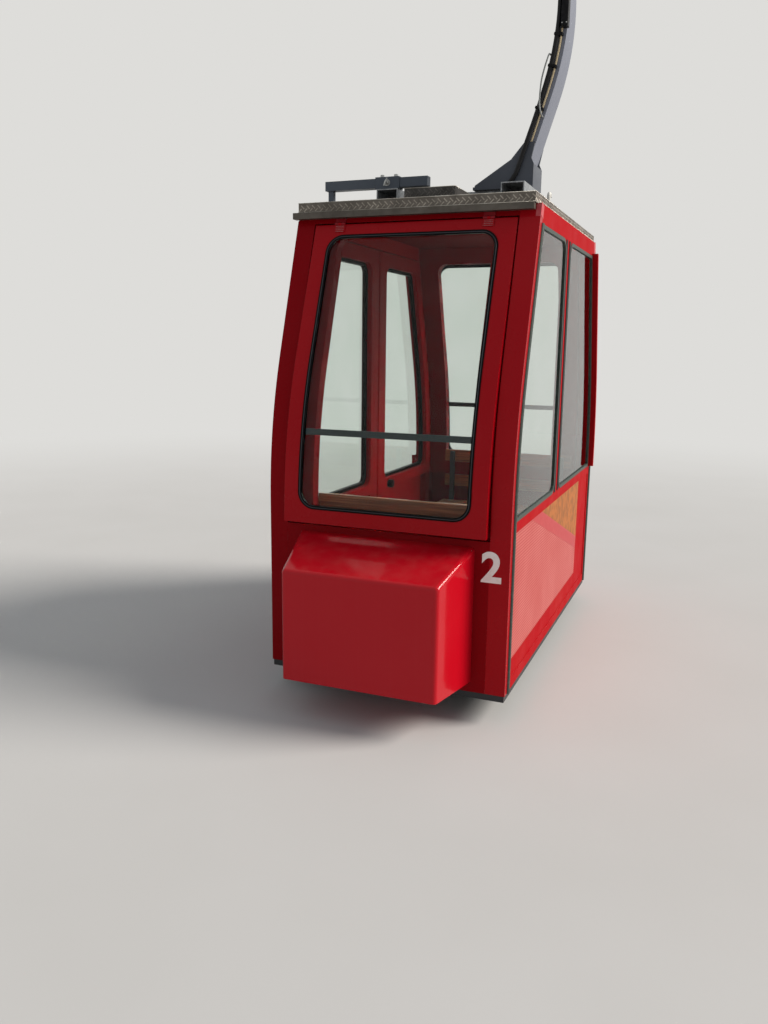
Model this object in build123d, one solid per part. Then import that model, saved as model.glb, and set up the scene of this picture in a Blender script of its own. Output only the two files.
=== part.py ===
"""Single-rope cable car cabin with its C-shaped hanger and four-wheel running carriage.

Millimetres. X points across the track towards the glazed side, Y along the track, Z up.
The origin is on the axis of the track rope, midway between the running wheels.
Heights of the cabin are counted from the bottom edge of its body, and one shift at the end
brings them below the rope.
"""
import os
from math import acos, atan2, cos, pi, radians, sin, sqrt, tan

from build123d import *

# Overall sizes of the body
HALF_LENGTH = 1150.0        # middle of the body to its end face, at the floor
HALF_WIDTH = 620.0          # middle of the body to the outside of a corner post
BODY_HEIGHT = 2265.0        # bottom edge to the top of the side walls
BEND_START = 850.0          # height where the end faces start to bend inwards
BEND_RADIUS = 2330.0        # outside radius of that bend
LEAN = 17.5                 # lean of the end faces above the bend, degrees

# Walls, floor and clearances
WALL = 30.0                 # side walls
POST_X = 97.0               # corner posts, across the track
RIGHT_POST_Y = 46.0         # corner posts beside the glazed wall, along the track
DOOR_POST_Y = 150.0         # corner posts beside the doors, along the track
POST_CHAMFER = 35.0         # top outer corner on the door side
FLOOR_TOP = 85.0
FLOOR_THICK = 18.0
SKIRT = 32.0                # underframe showing below the body
SKIRT_INSET = 5.0
FRAME_MEMBER = 50.0         # width of the underframe's members
FRAME_BAYS = 5              # bays between them on each side of the middle
GLASS = 5.0
SEAL_WIDTH = 18.0           # rubber round each pane, seen from outside
SEAL_PROUD = 3.0
MOVING_GAP = 7.0            # between a moving leaf and what frames it
PIN_GAP = 1.0               # between the knuckles of a hinge
RUNNING_FIT = 0.05          # radial play of a turning pin, axle or shaft

# Glazed side
SIDE_SILL = 825.0
TOP_RAIL = 88.0             # side wall above its windows
MULLION = 120.0
MULLION_Y = -110.0          # middle of the body to the middle of the mullion
SIDE_MARGIN = 14.0          # side window to the front corner post
SIDE_WINDOW_RADIUS = 70.0
SIDE_FRAME = 55.0           # red frame round the lower panel
PANEL_RECESS = 4.0
RUB_SETBACK = 127.0         # end face to the near face of the rub strip beside the rear window
RUB_SIZE = (35.0, 30.0)     # how far it stands out, and its thickness along the track
RUB_LAP = 13.0              # its top above the window

# Doors on the other side
DOOR_RECESS = 55.0          # outside of a leaf behind the outside of the posts
DOOR_THICK = 55.0
DOOR_BOTTOM = 100.0
DOOR_HEADER = 100.0         # top of a leaf below the top of the walls
DOOR_MEETING_GAP = 18.0     # between the two leaves
DOOR_STILE = 105.0
DOOR_OUTER_STILE = 74.0
DOOR_RAIL_TOP = 80.0
DOOR_RAIL_MIDDLE = 63.0
DOOR_SKIN = 15.0            # outer skin of a leaf over the pocket below its window
DOOR_WINDOW_SILL = 780.0
DOOR_WINDOW_RADIUS = 60.0
DOOR_GLASS_INSET = 12.0     # pane behind the outside of a leaf
DOOR_SEAL_DEPTH = 26.0
DOOR_KNUCKLE = 12.0         # radius of the hinge knuckles
DOOR_PIN = 6.0
DOOR_KNUCKLE_HEIGHT = 60.0
DOOR_STRAP = 8.0            # thickness of the hinge leaves
DOOR_HINGE_LAP = 50.0       # hinge leaf on the post
DOOR_HINGE_RISES = (140.0, 110.0)       # lower hinge above a leaf's edge, upper one below the bend
DOOR_LATCH = (26.0, 30.0, 190.0, 35.0)  # radius, depth, from the middle, below the window

# Window flap in each end
FLAP_BOTTOM = 746.0
FLAP_HEADER = 60.0          # top of a flap below the top of the walls
FLAP_THICK = 34.0
FLAP_AJAR = 2.0             # degrees that it stands open on its ventilation stop
FLAP_SIDE_MARGIN = 76.0
FLAP_SILL_MARGIN = 70.0
FLAP_HEAD_MARGIN = 52.0
FLAP_WINDOW_RADIUS = 86.0
FLAP_SEAL_DEPTH = 14.0      # rubber of a flap behind its face
FLAP_BAR = (1191.0, 30.0, 12.0, 2.0)    # guard bar: height, width, thickness, gap behind the rubber
OPENING_MARGINS = (115.0, 46.0, 54.0)   # opening behind the flap inside its sides, bottom and top
OPENING_RADIUS = 60.0
END_FRAME_DEPTH = 60.0
END_FRAME_RAIL = 90.0       # frame below that opening
HINGE_MIDDLE = 380.0        # middle of the body to the middle of a flap hinge
HINGE_WIDTH = 56.0
HINGE_PROUD = 6.0           # hinge line in front of the end face
HINGE_KNUCKLE = 6.0
HINGE_PIN = 3.0
HINGE_LEAF = (5.0, 32.0)    # thickness and height of a hinge leaf

# Equipment box on each end
BOX_DEPTH = 326.0
BOX_MARGIN = 64.0           # edge of the flap to the edge of the box, at the wall
BOX_TAPER = 67.0            # each side of the box, from the wall to its front
BOX_BOTTOM = 50.0
BOX_REAR_TOP = 708.0
BOX_FRONT_TOP = 588.0
BOX_SHEET = 6.0
BOX_EDGE_RADIUS = 22.0

# Roof
ROOF_INSET = 20.0           # roof plate inside the corner posts
ROOF_OVERHANG = 47.0        # roof plate beyond the top of the end faces
ROOF_EDGE = 46.0            # height of the folded edge
ROOF_SHEET = 5.0
ROOF_RIB = 80.0             # width of the stiffener under each beam
CEILING = 15.0
DRIP = (30.0, 30.0, 5.0, 6.0)   # height, reach past the left edge, inside the right one, past the end
BEAM_SPACING = 350.0        # middle of the body to the middle of a roof beam
BEAM_X = 124.0
BEAM_Z = 100.0
BEAM_WALL = 6.0
BEAM_HALF_LENGTH = 300.0
BEAM_FOOT = (100.0, 80.0, 49.0)     # X, Y and height of the feet under the beams
BEAM_FOOT_INSET = 60.0
CROSS_BEAM = 120.0
ROOF_BOX = (270.0, 240.0, 90.0)     # X, Y, Z with the lid closed
ROOF_BOX_SETBACK = 264.0            # from the front edge of the roof
ROOF_BOX_LID = 12.0
LID_KNUCKLE = 6.0
LID_PIN = 3.0
LID_HINGE_WIDTH = 120.0
CROSS_BAR = 50.0
CROSS_BAR_Y = -270.0
CROSS_BAR_REACH = (127.0, 231.0)    # past the left edge of the roof, and past the left beam's middle
CROSS_BAR_LEG = (30.0, 55.0)        # size of the leg below its outer end, and its height
SLEEVE = (140.0, 6.0)               # length and wall of the clamp sleeve
GOOSENECK = (550.0, -340.0, 9.0, 16.0, 58.0)    # X, Y, pipe radius, bend radius, height

# Benches
SEAT_HEIGHT = 520.0
BENCH_GAPS = (110.0, 90.0)  # from a door leaf and from the glazed wall
SLAT_THICK = 22.0
SEAT_SLATS = 3
SEAT_SLAT_DEPTH = 95.0
SEAT_SLAT_GAP = 12.0
SEAT_BACK_GAP = 50.0        # behind the last seat slat
BRACKET = 30.0              # width of a bench bracket
BRACKET_INSET = 60.0
BRACKET_SETBACK = 10.0      # bracket behind the front of the seat
BRACKET_POST = 26.0         # depth of the upright that carries the back slats
SEAT_BEARER = 40.0
BACK_SLATS = ((100.0, 180.0), (278.0, 362.0))   # low and high edge of each back slat above the seat

# Hanger
ROPE_HEIGHT = 4500.0        # track rope axis above the bottom edge of the body
ROPE_RADIUS = 20.0
PIVOT_RISE = 100.0          # hanger pivot above the rope axis
HANGER_LEAN = 17.7          # lean of the straight ends of the arm, degrees
ARM_BEND_RADIUS = 1420.0
ARM_SIZE_X = 60.0
ARM_SIZE_Y = 190.0
ARM_WALL = 8.0
ARM_FOOT_INSET = 32.0       # arm's centre line at its foot, inside the middle of the right beam
ARM_HEAD = 78.0             # arm's centre line at the pivot, from the near end of the hub
ARM_CAP = 30.0              # closed top of the arm below the pivot
FOOT_PLATE = 15.0
CHEEK = 12.0
FOOT_REACH = 238.0          # foot plate, from the arm's centre line towards the middle
# Outline of a foot cheek: distance from the arm's foot, height above the foot plate
CHEEK_OUTLINE = ((-228.0, 0.0), (94.0, 0.0), (94.0, 105.0), (80.0, 135.0),
                 (98.0, 215.0), (40.0, 215.0), (-30.0, 132.0), (-228.0, 8.0))
HUB_RADIUS = 75.0
HUB_LENGTH = 150.0
CABLE_RADIUS = 12.0
CABLE_SETBACK = 6.0         # cables from the inner edge of the arm's near face
CABLE_GAP = 1.0
CABLE_CROSSING = (0.1, 0.52, 0.76)      # shares of the lower straight where the cables turn
CABLE_TOP = (0.25, 0.78)    # shares of the upper straight of their last two corners
CABLE_ENTRY = (20.0, 25.0)  # gland from the beam, and first corner below the foot plate's top
LOOP_RADIUS = 4.0           # thin cable that hangs beside the arm
# Corners of that cable across and up from the first corner of the arm's arc
LOOP_STEPS = ((4.0, 38.0), (-14.0, -16.0), (-31.0, -82.0),
              (-36.0, -150.0), (-37.0, -212.0), (-22.0, -262.0))
GLAND = (20.0, 30.0)        # radius and height
JUNCTION_BOX = (36.0, 45.0, 260.0)      # X, Y, Z

# Carriage
WHEEL_TREAD = 130.0
WHEEL_GROOVE = 20.0         # depth of the groove for the rope
WHEEL_HALF_WIDTH = 40.0
WHEEL_RIM = 22.0            # under the tread
WHEEL_WEB = 28.0
WHEEL_HUB = (38.0, 48.0)    # radius and half length
WHEEL_HOLES = (6, 16.0)     # number and radius of the holes in the web
WHEEL_LIP = 8.0             # flat outer edge of a flange
WHEEL_GAP = 15.0            # between the two wheels of a rocker
AXLE_RADIUS = 15.0
SHAFT_RADIUS = 40.0
SHAFT_GAP = 10.0            # between the shaft and the inner wheels
ROCKER_INNER = 50.0         # inside face of a rocker plate from the rope
ROCKER_THICK = 10.0
ROCKER_ENDS = 36.0          # radius of a rocker plate round an axle
ROCKER_PIN = 18.0
ROCKER_PIN_GAP = 11.0       # between the pin and the wheels
PLATE_INNER = 70.0          # inside face of a side plate from the rope
PLATE_THICK = 12.0
PLATE_ENDS = (48.0, 40.0)   # radius of a side plate round a rocker pin and round an end spacer
PLATE_MARGIN = 10.0         # side plate round the hub
HUB_STANDOFF = 43.0         # between the side plate and the hub
COLLAR_RADIUS = 60.0
COLLAR_GAP = 5.0
COLLAR_THICK = 25.0
SHAFT_END = 40.0            # shaft beyond the hub
HEAD_RATIO = 1.6            # collars and heads of the axles and pins, to their shanks
SPACER_RADIUS = 25.0
SPACER_GAP = 25.0           # between the outer wheel and the end spacer
HAUL_EYE_RADIUS = 12.5
HAUL_EYE_REACH = 115.0      # from the end spacer to the eye
HAUL_EYE_RISE = 110.0       # eye above the rope axis
LUG_THICK = 24.0
LUG_RADIUS = 34.0

# Places that follow from these sizes
DOOR_OUTER = HALF_WIDTH - DOOR_RECESS       # outside of a door leaf from the middle of the body
DOOR_INNER = DOOR_OUTER - DOOR_THICK
DOOR_TOP = BODY_HEIGHT - DOOR_HEADER
SIDE_HEAD = BODY_HEIGHT - TOP_RAIL
FLAP_TOP = BODY_HEIGHT - FLAP_HEADER
FLAP_HALF_WIDTH = HALF_WIDTH - POST_X - MOVING_GAP
OPENING_HALF_WIDTH = FLAP_HALF_WIDTH - OPENING_MARGINS[0]
END_DEPTH = FLAP_THICK + MOVING_GAP + END_FRAME_DEPTH   # end face to the inside of the end frame
ROOF_TOP = BODY_HEIGHT + ROOF_EDGE
ROOF_HALF_WIDTH = HALF_WIDTH - ROOF_INSET
BEAM_TOP = ROOF_TOP + BEAM_FOOT[2] + BEAM_Z
FOOT_TOP = BEAM_TOP + FOOT_PLATE
PIVOT_HEIGHT = ROPE_HEIGHT + PIVOT_RISE
BENCH_X = (-DOOR_INNER + BENCH_GAPS[0], HALF_WIDTH - WALL - BENCH_GAPS[1])
SEAT_FRONT = (HALF_LENGTH - END_DEPTH - SEAT_BACK_GAP
              - SEAT_SLATS * SEAT_SLAT_DEPTH - (SEAT_SLATS - 1) * SEAT_SLAT_GAP)
HUB_START = PLATE_INNER + PLATE_THICK + HUB_STANDOFF
HUB_END = HUB_START + HUB_LENGTH
ARM_FOOT_X = BEAM_SPACING - ARM_FOOT_INSET
ARM_HEAD_X = HUB_START + ARM_HEAD
WHEEL_FLANGE = WHEEL_TREAD + WHEEL_GROOVE
AXLE_HEIGHT = ROPE_HEIGHT + ROPE_RADIUS + WHEEL_TREAD
WHEEL_PITCH = 2 * WHEEL_FLANGE + WHEEL_GAP
ROCKER_Y = WHEEL_FLANGE + SHAFT_RADIUS + SHAFT_GAP + WHEEL_PITCH / 2
PIN_REACH = WHEEL_FLANGE + ROCKER_PIN + ROCKER_PIN_GAP      # from an axle to the pin of its rocker
ROCKER_HEIGHT = AXLE_HEIGHT + sqrt(PIN_REACH ** 2 - (WHEEL_PITCH / 2) ** 2)
WHEEL_PLACES = [rocker + side * WHEEL_PITCH / 2 for rocker in (-ROCKER_Y, ROCKER_Y) for side in (-1, 1)]
SPACER_Y = WHEEL_PLACES[-1] + WHEEL_FLANGE + SPACER_GAP + SPACER_RADIUS

parts = {}
LEAN_TAN = tan(radians(LEAN))
ENDS = (("front", -1), ("rear", 1))         # name and side of the middle along the track


# The end faces seen from the side
def end_distance(height, inset=0.0):
    """Distance of the end face from the middle at a height, moved in square to itself."""
    radius = BEND_RADIUS - inset
    centre = HALF_LENGTH - BEND_RADIUS
    rise = height - BEND_START
    if rise <= 0:
        return centre + radius
    if rise <= radius * sin(radians(LEAN)):
        return centre + sqrt(radius ** 2 - rise ** 2)
    return centre + radius * cos(radians(LEAN)) - (rise - radius * sin(radians(LEAN))) * LEAN_TAN


def end_edges(inset, low, high):
    """The curve of the end face between two heights, as lines and one arc, from low to high."""
    bend_end = BEND_START + (BEND_RADIUS - inset) * sin(radians(LEAN))
    edges = []
    if low < BEND_START:
        stop = min(high, BEND_START)
        edges.append(Line((end_distance(low, inset), low), (end_distance(stop, inset), stop)))
    start, stop = max(low, BEND_START), min(high, bend_end)
    if stop > start:
        heights = (start, (start + stop) / 2, stop)
        edges.append(ThreePointArc(*[(end_distance(z, inset), z) for z in heights]))
    if high > bend_end:
        start = max(low, bend_end)
        edges.append(Line((end_distance(start, inset), start), (end_distance(high, inset), high)))
    return edges


def bay(inner, inset, low, high):
    """Face from a vertical line out to the end curve, between two heights. X stands for Y."""
    top, bottom = end_distance(high, inset), end_distance(low, inset)
    loop = end_edges(inset, low, high)
    loop.append(Line((top, high), (inner, high)))
    loop.append(Line((inner, high), (inner, low)))
    loop.append(Line((inner, low), (bottom, low)))
    return make_face(loop)


def band(outer, inner, low, high):
    """Face between two insets of the end curve, between two heights."""
    return bay(0.0, outer, low, high) - bay(0.0, inner, low, high)


def across(face, low, high):
    """Solid of a face drawn along the track, reaching across it from low to high."""
    return Plane.YZ.offset(low) * extrude(face, high - low, dir=(0, 0, 1))


def at_end(shape, side):
    """A shape made for the rear end, or its mirror image for the front end."""
    return shape if side > 0 else mirror(shape, about=Plane.XZ)


def at_both_ends(*shapes):
    """One node of shapes made for the rear end and their mirror images."""
    return Compound([at_end(shape, side) for side in (1, -1) for shape in shapes])


def block(x, y, z):
    """Box between the low and high value of each axis."""
    size = [abs(b - a) for a, b in (x, y, z)]
    middle = [(a + b) / 2 for a, b in (x, y, z)]
    return Pos(*middle) * Box(*size)


def window_prism(half_width, low, high, radius):
    """Rounded rectangle seen from the end, reaching along the rear half of the body."""
    outline = RectangleRounded(2 * half_width, high - low, radius)
    return Pos(0, 0, (low + high) / 2) * (Plane.XZ * extrude(outline, -1.5 * HALF_LENGTH))


def rod(radius, x_low, x_high, y, z):
    """Round bar across the track."""
    return Pos(x_low, y, z) * (Plane.YZ * extrude(Circle(radius), x_high - x_low))


# Welded underframe of the body, with its skirt and cross members
def underframe():
    edge = HALF_LENGTH - RIGHT_POST_Y
    left, right = -DOOR_INNER, HALF_WIDTH - WALL
    frame = block((left, right), (-edge, edge), (0, FLOOR_TOP - FLOOR_THICK))
    skirt_x, skirt_y = HALF_WIDTH - SKIRT_INSET, HALF_LENGTH - SKIRT_INSET
    frame += block((-skirt_x, skirt_x), (-skirt_y, skirt_y), (-SKIRT, 0))
    pitch = (2 * edge - FRAME_MEMBER) / FRAME_BAYS
    for row in ((left + FRAME_MEMBER, -FRAME_MEMBER / 2), (FRAME_MEMBER / 2, right - FRAME_MEMBER)):
        for column in range(FRAME_BAYS):
            start = -edge + FRAME_MEMBER + column * pitch
            frame -= block(row, (start, start + pitch - FRAME_MEMBER), (-SKIRT, FLOOR_TOP))
    return frame


parts["underframe"] = underframe()
parts["floor_plate"] = block((-DOOR_INNER, HALF_WIDTH - WALL),
                             (-HALF_LENGTH + RIGHT_POST_Y, HALF_LENGTH - RIGHT_POST_Y),
                             (FLOOR_TOP - FLOOR_THICK, FLOOR_TOP))


# Corner posts, bent to the curve of the ends, the left ones chamfered at the top
def door_side_chamfer():
    corner = Polyline((-HALF_WIDTH, BODY_HEIGHT - POST_CHAMFER), (-HALF_WIDTH, BODY_HEIGHT),
                      (-HALF_WIDTH + POST_CHAMFER, BODY_HEIGHT), close=True)
    return Plane.XZ.offset(-HALF_LENGTH) * extrude(make_face(corner), 2 * HALF_LENGTH, dir=(0, 0, 1))


right_post = across(band(0, RIGHT_POST_Y, 0, BODY_HEIGHT), HALF_WIDTH - POST_X, HALF_WIDTH)
left_post = across(band(0, DOOR_POST_Y, 0, BODY_HEIGHT), -HALF_WIDTH, -HALF_WIDTH + POST_X)
left_post -= door_side_chamfer()
parts["corner_posts_right"] = at_both_ends(right_post)
parts["corner_posts_left"] = at_both_ends(left_post)


# Glazed side wall with its two windows, panes and rubbers
def side_windows(inset):
    """Outlines of the side windows, moved in from their openings. The rear one ends at the rub strip."""
    outlines = None
    for side, margin in ((-1, RIGHT_POST_Y + SIDE_MARGIN), (1, RUB_SETBACK)):
        start = MULLION / 2 + side * MULLION_Y + inset
        face = bay(start, margin + inset, SIDE_SILL + inset, SIDE_HEAD - inset)
        corners = face.vertices().sort_by(Axis.X)[:2]
        face = fillet(corners, SIDE_WINDOW_RADIUS - inset)
        if side < 0:
            face = mirror(face, about=Plane.YZ)
        outlines = face if outlines is None else outlines + face
    return outlines


def both(face):
    """A face and its mirror image in the other half of the body."""
    return face + mirror(face, about=Plane.YZ)


def side_wall():
    outline = both(bay(0, RIGHT_POST_Y, 0, BODY_HEIGHT))
    wall = across(outline, HALF_WIDTH - WALL, HALF_WIDTH)
    wall -= across(side_windows(0), 0, HALF_WIDTH + 1)
    panel = both(bay(0, RIGHT_POST_Y + SIDE_FRAME, SIDE_FRAME, SIDE_SILL - SIDE_FRAME))
    return wall - across(panel, HALF_WIDTH - PANEL_RECESS, HALF_WIDTH + 1)


parts["side_wall_right"] = side_wall()
side_seal_face = side_windows(0) - side_windows(SEAL_WIDTH)
parts["side_seals_right"] = across(side_seal_face, HALF_WIDTH - SEAL_WIDTH, HALF_WIDTH + SEAL_PROUD)
side_glass_x = HALF_WIDTH - 2 * GLASS
parts["side_glass_right"] = across(side_windows(SEAL_WIDTH), side_glass_x, side_glass_x + GLASS)
rub_face = band(RUB_SETBACK - RUB_SIZE[1], RUB_SETBACK - PIN_GAP, SIDE_SILL, SIDE_HEAD + RUB_LAP)
parts["rub_strip"] = across(rub_face, HALF_WIDTH, HALF_WIDTH + RUB_SIZE[0])


# End walls: the lower skin, and the frame that stands behind the window flap
def end_wall():
    inner_x = HALF_WIDTH - POST_X
    skin = across(band(0, RIGHT_POST_Y, 0, FLAP_BOTTOM - MOVING_GAP), -inner_x, inner_x)
    set_back = FLAP_THICK + MOVING_GAP
    sill, head = FLAP_BOTTOM + OPENING_MARGINS[1], FLAP_TOP - OPENING_MARGINS[2]
    frame = across(band(set_back, END_DEPTH, sill - END_FRAME_RAIL, BODY_HEIGHT), -inner_x, inner_x)
    frame -= window_prism(OPENING_HALF_WIDTH, sill, head, OPENING_RADIUS)
    header = across(band(0, set_back, FLAP_TOP + MOVING_GAP, BODY_HEIGHT), -inner_x, inner_x)
    lap = across(band(RIGHT_POST_Y, END_DEPTH, sill - END_FRAME_RAIL, FLAP_BOTTOM - MOVING_GAP),
                 -inner_x, inner_x)
    return skin + lap + frame + header


# Window flap, hung on two hinges along its top edge
HINGE_HEIGHT = FLAP_TOP + MOVING_GAP / 2
HINGE_Y = end_distance(HINGE_HEIGHT, -HINGE_PROUD)
FLAP_AXIS = Axis((0, HINGE_Y, HINGE_HEIGHT), (1, 0, 0))


def flap_window(inset):
    """Prism of the pane's opening, moved in from the opening in the flap."""
    return window_prism(FLAP_HALF_WIDTH - FLAP_SIDE_MARGIN - inset, FLAP_BOTTOM + FLAP_SILL_MARGIN + inset,
                        FLAP_TOP - FLAP_HEAD_MARGIN - inset, FLAP_WINDOW_RADIUS - inset)


def flap_hinge(middle, side):
    """Half of a flap hinge: the header's with two knuckles and the pin, or the flap's with one."""
    thick, height = HINGE_LEAF
    third = HINGE_WIDTH / 3
    clear = HINGE_KNUCKLE + 1.5 * PIN_GAP
    if side > 0:
        height = BODY_HEIGHT - DRIP[0] - PIN_GAP - HINGE_HEIGHT - clear
    edges = sorted((HINGE_HEIGHT + side * clear, HINGE_HEIGHT + side * (clear + height)))
    half = across(band(-thick, 0, *edges), middle - HINGE_WIDTH / 2, middle + HINGE_WIDTH / 2)
    edges = sorted((HINGE_HEIGHT + side * PIN_GAP, HINGE_HEIGHT + side * (clear + PIN_GAP)))
    spans = ((-1.5, -0.5), (0.5, 1.5)) if side > 0 else ((-0.5, 0.5),)
    play = 0 if side > 0 else PIN_GAP
    for low, high in spans:
        low, high = middle + low * third + play, middle + high * third - play
        half += across(band(-thick, 0, *edges), low, high)
        half += rod(HINGE_KNUCKLE, low, high, HINGE_Y, HINGE_HEIGHT)
    if side > 0:
        ends = (middle - HINGE_WIDTH / 2, middle + HINGE_WIDTH / 2)
        return half + rod(HINGE_PIN, *ends, HINGE_Y, HINGE_HEIGHT)
    return half - rod(HINGE_PIN + RUNNING_FIT, middle - third, middle + third, HINGE_Y, HINGE_HEIGHT)


def flap_frame():
    frame = across(band(0, FLAP_THICK, FLAP_BOTTOM, FLAP_TOP), -FLAP_HALF_WIDTH, FLAP_HALF_WIDTH)
    frame -= flap_window(0)
    return frame + flap_hinge(-HINGE_MIDDLE, -1) + flap_hinge(HINGE_MIDDLE, -1)


def flap_seal():
    strip = across(band(-SEAL_PROUD, FLAP_SEAL_DEPTH, FLAP_BOTTOM, FLAP_TOP),
                   -FLAP_HALF_WIDTH, FLAP_HALF_WIDTH)
    return (strip & flap_window(0)) - flap_window(SEAL_WIDTH)


def flap_glass():
    sheet = across(band(GLASS, 2 * GLASS, FLAP_BOTTOM, FLAP_TOP), -FLAP_HALF_WIDTH, FLAP_HALF_WIDTH)
    return sheet & flap_window(SEAL_WIDTH)


def flap_bar():
    """Guard bar behind the pane, welded between the stiles of the flap."""
    height, width, thick, gap = FLAP_BAR
    start = FLAP_SEAL_DEPTH + gap
    half = FLAP_HALF_WIDTH - FLAP_SIDE_MARGIN
    return across(band(start, start + thick, height - width / 2, height + width / 2), -half, half)


# Equipment box on the lower end wall, a sheet housing open towards the wall
def equipment_box():
    rear_half = FLAP_HALF_WIDTH - BOX_MARGIN
    front_half = rear_half - BOX_TAPER
    reach = HALF_LENGTH + BOX_DEPTH

    def outline(distance, half, top, gap):
        face = Rectangle(2 * (half - gap), top - BOX_BOTTOM - 2 * gap)
        middle = Pos(0, distance, (top + BOX_BOTTOM) / 2)
        return middle * (Plane.XZ * face)

    outer = loft([outline(HALF_LENGTH, rear_half, BOX_REAR_TOP, 0),
                  outline(reach, front_half, BOX_FRONT_TOP, 0)])
    places = [(edge, edge.center()) for edge in outer.edges()]
    rounded = [edge for edge, place in places if place.Y > HALF_LENGTH + 1 and place.Z > BOX_BOTTOM + 1]
    outer = fillet(rounded, BOX_EDGE_RADIUS)
    inner = loft([outline(HALF_LENGTH, rear_half, BOX_REAR_TOP, BOX_SHEET),
                  outline(reach - BOX_SHEET, front_half, BOX_FRONT_TOP, BOX_SHEET)])
    return outer - inner


parts["end_walls"] = at_both_ends(end_wall())
parts["equipment_boxes"] = at_both_ends(equipment_box())
parts["flap_hinges"] = at_both_ends(flap_hinge(-HINGE_MIDDLE, 1), flap_hinge(HINGE_MIDDLE, 1))
flap_pieces = {"frame": flap_frame(), "seal": flap_seal(), "glass": flap_glass(), "bar": flap_bar()}
for end, side in ENDS:
    for piece, solid in flap_pieces.items():
        parts[f"flap_{piece}_{end}"] = at_end(solid.rotate(FLAP_AXIS, FLAP_AJAR), side)


# Door leaves between the left corner posts, with the header and sill that close the gap
DOOR_EDGE = end_distance(0, DOOR_POST_Y + MOVING_GAP)
# Edges of a door window: from the middle of the body, and from the end face
DOOR_WINDOW_EDGES = (DOOR_MEETING_GAP / 2 + DOOR_STILE, DOOR_POST_Y + MOVING_GAP + DOOR_OUTER_STILE)
DOOR_HINGE_Y = DOOR_EDGE - DOOR_KNUCKLE
DOOR_HINGE_X = -HALF_WIDTH - DOOR_KNUCKLE
DOOR_HINGE_HEIGHTS = (DOOR_BOTTOM + DOOR_HINGE_RISES[0], BEND_START - DOOR_HINGE_RISES[1])


def upright(radius, low, high):
    """Upright round bar on the hinge line of the rear leaf."""
    return Pos(DOOR_HINGE_X, DOOR_HINGE_Y, (low + high) / 2) * Cylinder(radius, high - low)


def door_outline(inset):
    return bay(DOOR_MEETING_GAP / 2 + inset, DOOR_POST_Y + MOVING_GAP + inset,
               DOOR_BOTTOM + inset, DOOR_TOP - inset)


def door_window(inset):
    face = bay(DOOR_WINDOW_EDGES[0] + inset, DOOR_WINDOW_EDGES[1] + inset,
               DOOR_WINDOW_SILL + inset, DOOR_TOP - DOOR_RAIL_TOP - inset)
    corners = face.vertices().sort_by(Axis.Y)
    return fillet([corners[0], corners[1], corners[-1], corners[-2]], DOOR_WINDOW_RADIUS - inset)


def door_frame():
    leaf = across(door_outline(0), -DOOR_OUTER, -DOOR_INNER)
    leaf -= across(door_window(0), -HALF_WIDTH, 0)
    pocket = bay(*DOOR_WINDOW_EDGES, DOOR_BOTTOM + DOOR_STILE, DOOR_WINDOW_SILL - DOOR_RAIL_MIDDLE)
    leaf -= across(pocket, -DOOR_OUTER + DOOR_SKIN, 0)
    for height in DOOR_HINGE_HEIGHTS:
        top = height + DOOR_KNUCKLE_HEIGHT
        strap = block((-DOOR_OUTER - DOOR_STRAP, -DOOR_OUTER),
                      (DOOR_HINGE_Y - DOOR_KNUCKLE_HEIGHT, DOOR_HINGE_Y), (height, top))
        strap += block((DOOR_HINGE_X, -DOOR_OUTER), (DOOR_HINGE_Y - DOOR_KNUCKLE, DOOR_HINGE_Y),
                       (height, top))
        strap += upright(DOOR_KNUCKLE, height, top)
        leaf += strap - upright(DOOR_PIN + RUNNING_FIT, height, top)
    return leaf


def door_hinge(height):
    """The knuckles and pin that the left rear post carries for its leaf."""
    low, high = height - PIN_GAP, height + DOOR_KNUCKLE_HEIGHT + PIN_GAP
    hinge = upright(DOOR_PIN, low - 1, high + 1)
    for start in (low - DOOR_KNUCKLE_HEIGHT / 2, high):
        stop = start + DOOR_KNUCKLE_HEIGHT / 2
        hinge += upright(DOOR_KNUCKLE, start, stop)
        hinge += block((-HALF_WIDTH - DOOR_STRAP, -HALF_WIDTH),
                       (DOOR_HINGE_Y, HALF_LENGTH - DOOR_POST_Y + DOOR_HINGE_LAP), (start, stop))
    return hinge


door_glass_x = -DOOR_OUTER + DOOR_GLASS_INSET
door_pieces = {
    "frame": door_frame(),
    "seal": across(door_window(0) - door_window(SEAL_WIDTH), -DOOR_OUTER - SEAL_PROUD,
                   -DOOR_OUTER + DOOR_SEAL_DEPTH),
    "glass": across(door_window(SEAL_WIDTH), door_glass_x, door_glass_x + GLASS),
}
for end, side in ENDS:
    for piece, solid in door_pieces.items():
        parts[f"door_{piece}_{end}"] = at_end(solid, side)


def door_surround():
    header = both(bay(0, DOOR_POST_Y, DOOR_TOP + MOVING_GAP, BODY_HEIGHT))
    sill = both(bay(0, DOOR_POST_Y, 0, DOOR_BOTTOM - MOVING_GAP))
    header = across(header, -HALF_WIDTH, -DOOR_INNER) - door_side_chamfer()
    return Compound([header, across(sill, -HALF_WIDTH, -DOOR_INNER)])


parts["door_surround"] = door_surround()
parts["door_hinges"] = at_both_ends(*[door_hinge(height) for height in DOOR_HINGE_HEIGHTS])
latch_radius, latch_depth, latch_y, latch_drop = DOOR_LATCH
parts["door_latch"] = rod(latch_radius, -DOOR_INNER, -DOOR_INNER + latch_depth,
                          latch_y, DOOR_WINDOW_SILL - latch_drop)


# Roof
ROOF_HALF_LENGTH = end_distance(BODY_HEIGHT) + ROOF_OVERHANG


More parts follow.
